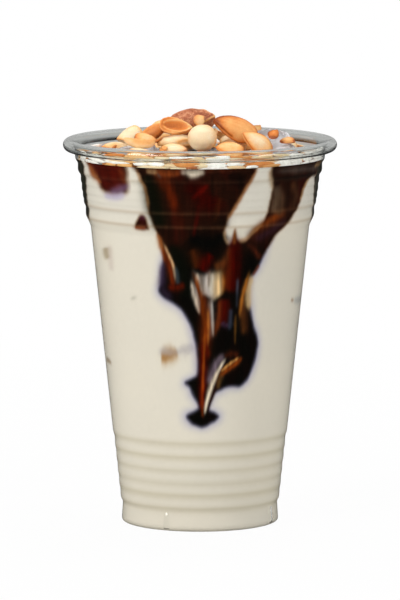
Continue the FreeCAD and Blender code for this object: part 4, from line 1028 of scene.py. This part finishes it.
def make_drink():
    """One closed surface of milk and coffee that reaches just into the cup's wall."""
    azimuths = drink_columns()
    columns = len(azimuths)
    rings, first_top = drink_rings()
    radius, height = (np.repeat(side[:, None], columns, 1) for side in rings.T)
    turn = np.radians(azimuths)[None, :]
    x, y = radius * np.sin(turn), -radius * np.cos(turn)
    around = (np.broadcast_to(azimuths[None, :], radius.shape) + 180) % 360 - 180
    colours = np.zeros((*radius.shape, 3))
    side, top = slice(0, first_top), slice(first_top, None)
    colours[side] = wall_colours(around[side].ravel(), height[side].ravel()).reshape(-1, columns, 3)
    colours[side] = blurred(colours[side])
    colours[top] = top_colours(x[top].ravel(), y[top].ravel()).reshape(-1, columns, 3)
    vertices = np.stack([x, y, height], -1).reshape(-1, 3) * MM
    drink = new_object("milk_and_coffee", vertices, grid_faces(len(rings), columns))
    colour_attribute(drink, "tint", colours.reshape(-1, 3))
    drink.data.materials.append(drink_material("drink_in_glass", 0.5, 0.0, 0.0))
    drink.data.materials.append(drink_material("drink_open", 0.25, 0.5, 1.0))
    is_top = np.repeat(np.arange(len(rings) - 1) >= first_top - 1, columns)
    drink.data.polygons.foreach_set("material_index", is_top.astype(int))
    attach(drink, "root")
    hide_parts("milk", "coffee")
    return drink


# ---------------------------------------------------------------- ice


def ice_material():
    """Wet ice, milky inside and clear at its melting skin."""
    nodes = Nodes("wet_ice")
    normal = nodes.bump(nodes.noise(120.0, 2.0, 0.4), 0.3, 0.0012)
    cloud = nodes.noise(150.0, 3.0, 0.5, (1, 1, 1), 0.6)
    clear = nodes.add(
        "BsdfPrincipled",
        Base_Color=(0.97, 0.97, 0.98),
        Roughness=0.04,
        IOR=1.31,
        Transmission_Weight=1.0,
        Normal=normal,
    )
    pale = nodes.ramp(cloud, (0.4, linear(244, 243, 246)), (0.62, linear(204, 196, 194)))
    frost = nodes.add("BsdfPrincipled", Base_Color=pale, Roughness=0.12, IOR=1.31, Normal=normal)
    share = nodes.ramp(cloud, (0.38, (0.75, 0.75, 0.75)), (0.6, (0.25, 0.25, 0.25)))
    body = nodes.blend(share, clear.outputs[0], frost.outputs[0])
    through = nodes.add("BsdfTransparent", Color=(0.9, 0.91, 0.92))
    in_shadow = nodes.add("LightPath").outputs["Is Shadow Ray"]
    return nodes.finish(nodes.blend(in_shadow, body, through.outputs[0]))


def refined_copy(name, node, voxel, smoothing):
    """A finer, softer copy of a CAD node's mesh, as an object of its own."""
    piece = bpy.data.objects.new(name, NODES[node].data.copy())
    bpy.context.scene.collection.objects.link(piece)
    piece.data.materials.clear()
    remesh = piece.modifiers.new("remesh", "REMESH")
    remesh.mode = "VOXEL"
    remesh.voxel_size = voxel
    smooth = piece.modifiers.new("smooth", "SMOOTH")
    smooth.factor = 0.5
    smooth.iterations = smoothing
    depsgraph = bpy.context.evaluated_depsgraph_get()
    mesh = bpy.data.meshes.new_from_object(piece.evaluated_get(depsgraph))
    piece.modifiers.clear()
    piece.data = mesh
    mesh.polygons.foreach_set("use_smooth", np.ones(len(mesh.polygons), bool))
    return piece


def mesh_points(piece):
    """A piece's vertices and their normals."""
    count = len(piece.data.vertices)
    points = np.zeros(count * 3)
    normals = np.zeros(count * 3)
    piece.data.vertices.foreach_get("co", points)
    piece.data.vertices.foreach_get("normal", normals)
    return points.reshape(-1, 3), normals.reshape(-1, 3)


def move_points(piece, points):
    """Writes a piece's vertices back."""
    piece.data.vertices.foreach_set("co", points.ravel())
    piece.data.update()


def cell_noise(points, size, seed):
    """Smooth noise from -1 to 1 in space, with cells of a size in metres."""
    rng = np.random.RandomState(seed)
    table = rng.uniform(-1, 1, (16, 16, 16))
    grid = points / np.asarray(size) + 100.0
    cell = np.floor(grid).astype(int)
    share = grid - cell
    share = share * share * (3 - 2 * share)
    total = np.zeros(len(points))
    for corner in itertools.product((0, 1), repeat=3):
        weight = np.ones(len(points))
        for axis, step in enumerate(corner):
            weight = weight * (share[:, axis] if step else 1 - share[:, axis])
        total += weight * table[tuple((cell[:, axis] + step) % 16 for axis, step in enumerate(corner))]
    return total


def make_ice():
    """Ice cubes melted to uneven rounded blocks."""
    material = ice_material()
    pieces = []
    for number, node in enumerate(sorted(n for n in NODES if n.startswith("ice_"))):
        piece = refined_copy("melting_" + node, node, 0.7 * MM, 6)
        points, normals = mesh_points(piece)
        wave = cell_noise(points, 7 * MM, SEED + number)
        wave = wave + 0.4 * cell_noise(points, 3 * MM, SEED + 20 + number)
        move_points(piece, points + normals * (wave * 0.35 * MM - 0.25 * MM)[:, None])
        piece.data.materials.append(material)
        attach(piece, "root")
        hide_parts(node)
        pieces.append(piece)
    return pieces


# ---------------------------------------------------------------- nuts

CREAM_NUT = linear(247, 228, 192)
GOLDEN = linear(246, 190, 122)
TOASTED = linear(224, 136, 64)
DEEP_TOAST = linear(150, 72, 32)
SKIN_PALE = linear(222, 164, 126)
SKIN = linear(182, 108, 74)
SKIN_DARK = linear(126, 64, 42)

# How the nuts that show look, by number: toast, warmth of the sharp edges, share of brown skin.
LOOKS = {
    25: (0.42, 0.0, 1.0),
    26: (0.16, 0.45, 0.0),
    27: (0.14, 0.4, 0.0),
    28: (0.24, 0.6, 0.0),
    29: (0.02, 0.5, 0.0),
    30: (0.02, 0.6, 0.0),
    31: (0.3, 0.5, 0.0),
    32: (0.48, 1.0, 0.0),
    33: (0.16, 0.9, 0.0),
    34: (0.85, -0.8, 0.0),
    35: (0.58, 0.3, 0.0),
    36: (0.3, 0.3, 0.0),
    38: (0.75, 0.5, 0.0),
    39: (0.45, 0.6, 0.1),
}


def nut_material(name, rough):
    """A nut whose toast and skin are read from its vertices and broken up by grain."""
    nodes = Nodes(name)
    toast = nodes.attribute("toast").outputs["Fac"]
    skin = nodes.attribute("skin").outputs["Fac"]
    grain = nodes.noise(500.0, 5.0, 0.65)
    fine = nodes.noise(2200.0, 4.0, 0.65)
    spread = nodes.math("ADD", toast, nodes.math("MULTIPLY", nodes.math("SUBTRACT", grain, 0.5), 0.3))
    flesh = nodes.ramp(spread, (0.05, CREAM_NUT), (0.36, GOLDEN), (0.66, TOASTED), (0.98, DEEP_TOAST))
    coarse = nodes.math("ADD", nodes.math("MULTIPLY", grain, 0.55), nodes.math("MULTIPLY", fine, 0.45))
    papery = nodes.ramp(coarse, (0.36, SKIN_DARK), (0.5, SKIN), (0.62, SKIN_PALE))
    colour = nodes.mix(skin, flesh, papery)
    shade = nodes.ramp(fine, (0.3, (0.9, 0.88, 0.85)), (0.7, (1, 1, 1)))
    colour = nodes.mix(1.0, colour, shade, "MULTIPLY")
    strength = nodes.math("ADD", nodes.math("MULTIPLY", skin, 0.5), 0.25)
    shader = nodes.add(
        "BsdfPrincipled",
        Base_Color=colour,
        Roughness=rough,
        IOR=1.45,
        Specular_IOR_Level=0.35,
        Subsurface_Weight=0.15,
        Subsurface_Radius=(0.9, 0.5, 0.25),
        Subsurface_Scale=0.0012,
        Normal=nodes.bump(coarse, strength, 0.0004),
    )
    return nodes.finish(shader.outputs[0])


def own_axes(points):
    """A nut's middle and its long, wide and thin directions; thin points away from its flat side."""
    middle = points.mean(0)
    _, axes = np.linalg.eigh(np.cov((points - middle).T))
    long, wide, thin = axes[:, 2], axes[:, 1], axes[:, 0]
    along = (points - middle) @ thin
    if along.mean() > (along.min() + along.max()) / 2:
        thin = -thin
    return middle, long, wide, thin


def share_along(points, middle, way):
    """Places along a direction, from -1 to 1 over the piece."""
    along = (points - middle) @ way
    low, high = along.min(), along.max()
    return 2 * (along - low) / max(high - low, 1e-9) - 1


def sharp_places(node, step=0.5 * MM):
    """Points along the sharp edges of a CAD node."""
    shape = bmesh.new()
    shape.from_mesh(NODES[node].data)
    bmesh.ops.remove_doubles(shape, verts=shape.verts, dist=1e-7)
    places = []
    for edge in shape.edges:
        if len(edge.link_faces) != 2 or min(f.calc_area() for f in edge.link_faces) < 0.01 * MM * MM:
            continue
        if edge.calc_face_angle(0.0) > 0.7:
            a, b = (np.array(v.co) for v in edge.verts)
            count = max(2, int(np.linalg.norm(b - a) / step) + 1)
            places.extend(a + (b - a) * t for t in np.linspace(0, 1, count))
    shape.free()
    return np.array(places).reshape(-1, 3)


def nearness(points, places, reach):
    """1 at the places, falling off with distance."""
    if not len(places):
        return np.zeros(len(points))
    best = np.full(len(points), 1e9)
    for start in range(0, len(places), 64):
        gaps = np.linalg.norm(points[:, None, :] - places[None, start:start + 64, :], axis=2).min(1)
        best = np.minimum(best, gaps)
    return np.exp(-(best / reach) ** 1.5)


def dress_nut(piece, number, node):
    """Gives a nut its wrinkles, and stores where it is toasted and where it keeps its skin."""
    points, normals = mesh_points(piece)
    middle, long, wide, thin = own_axes(points)
    u, v = (share_along(points, middle, way) for way in (long, wide))
    rng = random.Random(SEED * 100 + number)
    usual = (rng.uniform(0.08, 0.42), rng.uniform(0.3, 0.8), 0.0)
    tone, warmth, skin = LOOKS.get(number, usual)
    local = np.stack([(points - middle) @ way for way in (long, wide, thin)], -1)
    lines = cell_noise(local, (7 * MM, 0.7 * MM, 0.7 * MM), number + 3)
    lumps = cell_noise(local, 2.6 * MM, number + 50)
    shift = lines * (0.12 if skin > 0.5 else 0.05) + lumps * 0.18 - 0.05
    sharp = sharp_places(node)
    edge = nearness(points, sharp, 0.55 * MM)
    wide_edge = nearness(points, sharp, 2.2 * MM)
    outer = np.clip(np.hypot(u, v), 0, 1.2) ** 2
    patches = 0.16 * cell_noise(local, 4.0 * MM, number + 80) + 0.06 * lines
    lean = rng.uniform(-1, 1)
    toast = tone + warmth * (0.42 * edge + 0.26 * wide_edge) + 0.16 * (outer - 0.5) + patches
    toast = toast + 0.14 * (u * lean + v * (1 - abs(lean)))
    keeps_skin = rng.random() < 0.4
    if skin > 0.5:
        skin_share = skin * (1 - smoothstep(0.35, 0.7, edge))
    else:
        skin_share = skin + 0.7 * keeps_skin * smoothstep(0.45, 0.75, edge)
    move_points(piece, points + normals * (shift * MM)[:, None])
    float_attribute(piece, "toast", np.clip(toast, 0, 1))
    float_attribute(piece, "skin", skin_share)


def make_nuts():
    """Every nut of the heap, with its own grain and toast."""
    stuffs = {
        "whole": nut_material("almond_skin", 0.6),
        "hazel": nut_material("blanched_hazelnut", 0.4),
    }
    almond_stuff = nut_material("blanched_almond", 0.48)
    pieces = []
    for node in sorted(n for n in NODES if n.startswith("nut_")):
        _, kind, number = node.split("_")
        piece = refined_copy("dressed_" + node, node, 0.3 * MM, 3)
        dress_nut(piece, int(number), node)
        piece.data.materials.append(stuffs.get(kind, almond_stuff))
        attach(piece, "root")
        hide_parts(node)
        pieces.append(piece)
    return pieces


# ---------------------------------------------------------------- crumbs


def chip_shape(rng, subdivisions=2):
    """A small angular lump, as vertices on a rough unit ball, and its faces."""
    ball = bmesh.new()
    bmesh.ops.create_icosphere(ball, subdivisions=subdivisions, radius=1.0)
    points = np.array([v.co[:] for v in ball.verts])
    faces = [[v.index for v in f.verts] for f in ball.faces]
    ball.free()
    for _ in range(5):
        way = np.array([rng.gauss(0, 1) for _ in range(3)])
        way /= np.linalg.norm(way)
        over = np.maximum(points @ way - rng.uniform(0.45, 0.8), 0)
        points = points - over[:, None] * way
    return points, faces


class Scatter:
    """Small lumps gathered into one mesh."""

    def __init__(self):
        self.points, self.faces, self.toast, self.skin = [], [], [], []
        self.count = 0

    def add(self, points, faces, toast, skin=0.0):
        """Adds one lump with its toast and skin."""
        self.faces.extend([index + self.count for index in face] for face in faces)
        self.points.append(points)
        self.toast.append(np.full(len(points), toast))
        self.skin.append(np.full(len(points), skin))
        self.count += len(points)

    def build(self, name, material, slot):
        """The lumps as one piece."""
        piece = new_object(name, np.vstack(self.points), self.faces)
        float_attribute(piece, "toast", np.concatenate(self.toast))
        float_attribute(piece, "skin", np.concatenate(self.skin))
        piece.data.materials.append(material)
        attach(piece, "root")
        return piece


def heap_tree(pieces):
    """A search tree over the outside of the heap and the drink."""
    points, faces = [], []
    count = 0
    for piece in pieces:
        mesh = piece.data
        points.extend(v.co[:] for v in mesh.vertices)
        faces.extend([index + count for index in face.vertices] for face in mesh.polygons)
        count += len(mesh.vertices)
    return BVHTree.FromPolygons(points, faces)


NECK_INSIDE = NECK_RADIUS - WALL
NECK_FIRST_ROW = 0.5
NECK_ROW = 1.15
CRUMB_TRIES = 150
CRUMB_REACH = 40.0
CRUMB_TOP = 139.0
# What is pressed against the neck: azimuths it covers, rows, share of crushed ice, least and most toast.
NECK_BANDS = (
    (-76, -52, 3, 1.0, 0.2, 0.4),
    (-52, -14, 4, 0.3, 0.0, 0.7),
    (-14, -7, 4, 0.4, 0.5, 0.8),
    (-7, 2, 4, 0.1, 0.0, 0.15),
    (2, 12, 4, 0.9, 0.0, 0.2),
    (12, 38, 4, 0.12, 0.1, 0.8),
    (38, 76, 4, 1.0, 0.1, 0.4),
    (104, 256, 2, 0.5, 0.1, 0.8),
)


def fill_neck(tree, nuts, shards):
    """Broken nuts and crushed ice lying along the inside of the neck, bent with it."""
    rng = random.Random(SEED)
    for low, high, rows, icy, pale, dark in NECK_BANDS:
        for row in range(rows):
            azimuth = low - 1.0 + rng.uniform(0, 2.0)
            height = LEVEL + NECK_FIRST_ROW + NECK_ROW * row
            while azimuth < high:
                long = rng.uniform(3.0, 8.0)
                half_turn = math.degrees(long / NECK_INSIDE)
                middle = azimuth + half_turn
                azimuth += 1.6 * half_turn
                place = (middle, height + rng.uniform(-0.3, 0.3))
                place_chip(tree, rng, nuts, shards, place, long, icy, (pale, dark))


def place_chip(tree, rng, nuts, shards, place, long, icy, toast):
    """One chip against the neck, if there is room for it in front of the heap."""
    azimuth, height = place
    turn = math.radians(azimuth)
    way = Vector((math.sin(turn), -math.cos(turn), 0))
    thick = rng.uniform(0.3, 0.6)
    tall = rng.uniform(0.6, 1.3)
    points, faces = chip_shape(rng)
    as_ice = rng.random() < icy
    tone = rng.uniform(*toast)
    tilt = rng.uniform(-0.06, 0.06)
    start = way * (NECK_INSIDE * MM) + Vector((0, 0, height * MM))
    hit = tree.ray_cast(start, -way, 0.01)
    room = hit[3] / MM if hit[0] is not None else 10.0
    if room < 2 * thick + 0.3:
        return
    along = points[:, 0] * long
    up = points[:, 2] * tall + along * tilt
    depth = NECK_INSIDE - 0.2 - thick + points[:, 1] * thick
    around = turn + along / NECK_INSIDE
    lump = np.stack([depth * np.sin(around), -depth * np.cos(around), height + up], -1) * MM
    (shards if as_ice else nuts).add(lump, faces, tone, 0.6 * (tone > 0.78))


def scatter_crumbs(tree, nuts, shards):
    """Crumbs and ice grains that lie on the heap."""
    rng = random.Random(SEED + 1)
    for _ in range(CRUMB_TRIES):
        reach = CRUMB_REACH * math.sqrt(rng.random())
        turn = rng.uniform(0, 2 * math.pi)
        start = Vector((reach * math.cos(turn), reach * math.sin(turn), 200.0)) * MM
        half = rng.uniform(0.6, 1.6)
        points, faces = chip_shape(rng)
        stretch = np.array([half * rng.uniform(1.0, 1.9), half, half * rng.uniform(0.35, 0.7)])
        spin = rng.uniform(0, 2 * math.pi)
        icy = rng.random() < 0.3
        tone = rng.uniform(0.1, 0.9)
        hit = tree.ray_cast(start, Vector((0, 0, -1)), 0.2)
        if hit[0] is None or hit[0].z / MM > CRUMB_TOP or hit[1].z < 0.5:
            continue
        normal = hit[1]
        side = normal.cross(Vector((math.cos(spin), math.sin(spin), 0))).normalized()
        ahead = side.cross(normal)
        axes = np.array([ahead, side, normal])
        lump = (points * stretch) @ axes * MM + np.array(hit[0]) + np.array(normal) * stretch[2] * 0.6 * MM
        (shards if icy else nuts).add(lump, faces, tone)


def make_crumbs(pieces):
    """The small stuff: nut crumbs and crushed ice, one mesh of each."""
    tree = heap_tree(pieces)
    nuts, shards = Scatter(), Scatter()
    fill_neck(tree, nuts, shards)
    scatter_crumbs(tree, nuts, shards)
    nuts.build("nut_crumbs", nut_material("nut_crumb", 0.5), "nut")
    shards.build("crushed_ice", frost_material(), "ice")


def frost_material():
    """Crushed ice wet with milk: white, with a faint glow for the light scattered inside it."""
    nodes = Nodes("crushed_ice")
    grain = nodes.noise(600.0, 4.0, 0.6)
    colour = nodes.ramp(grain, (0.35, linear(252, 250, 244)), (0.7, linear(228, 222, 214)))
    shader = nodes.add(
        "BsdfPrincipled",
        Base_Color=colour,
        Roughness=0.25,
        IOR=1.31,
        Emission_Color=colour,
        Emission_Strength=0.14,
        Normal=nodes.bump(grain, 0.4, 0.0004),
    )
    return nodes.finish(shader.outputs[0])


# ---------------------------------------------------------------- put together

make_camera()
make_lights()
make_world()
make_floor()
make_cup()
make_crumbs([make_drink()] + make_ice() + make_nuts())

bpy.context.scene.view_settings.view_transform = "Standard"
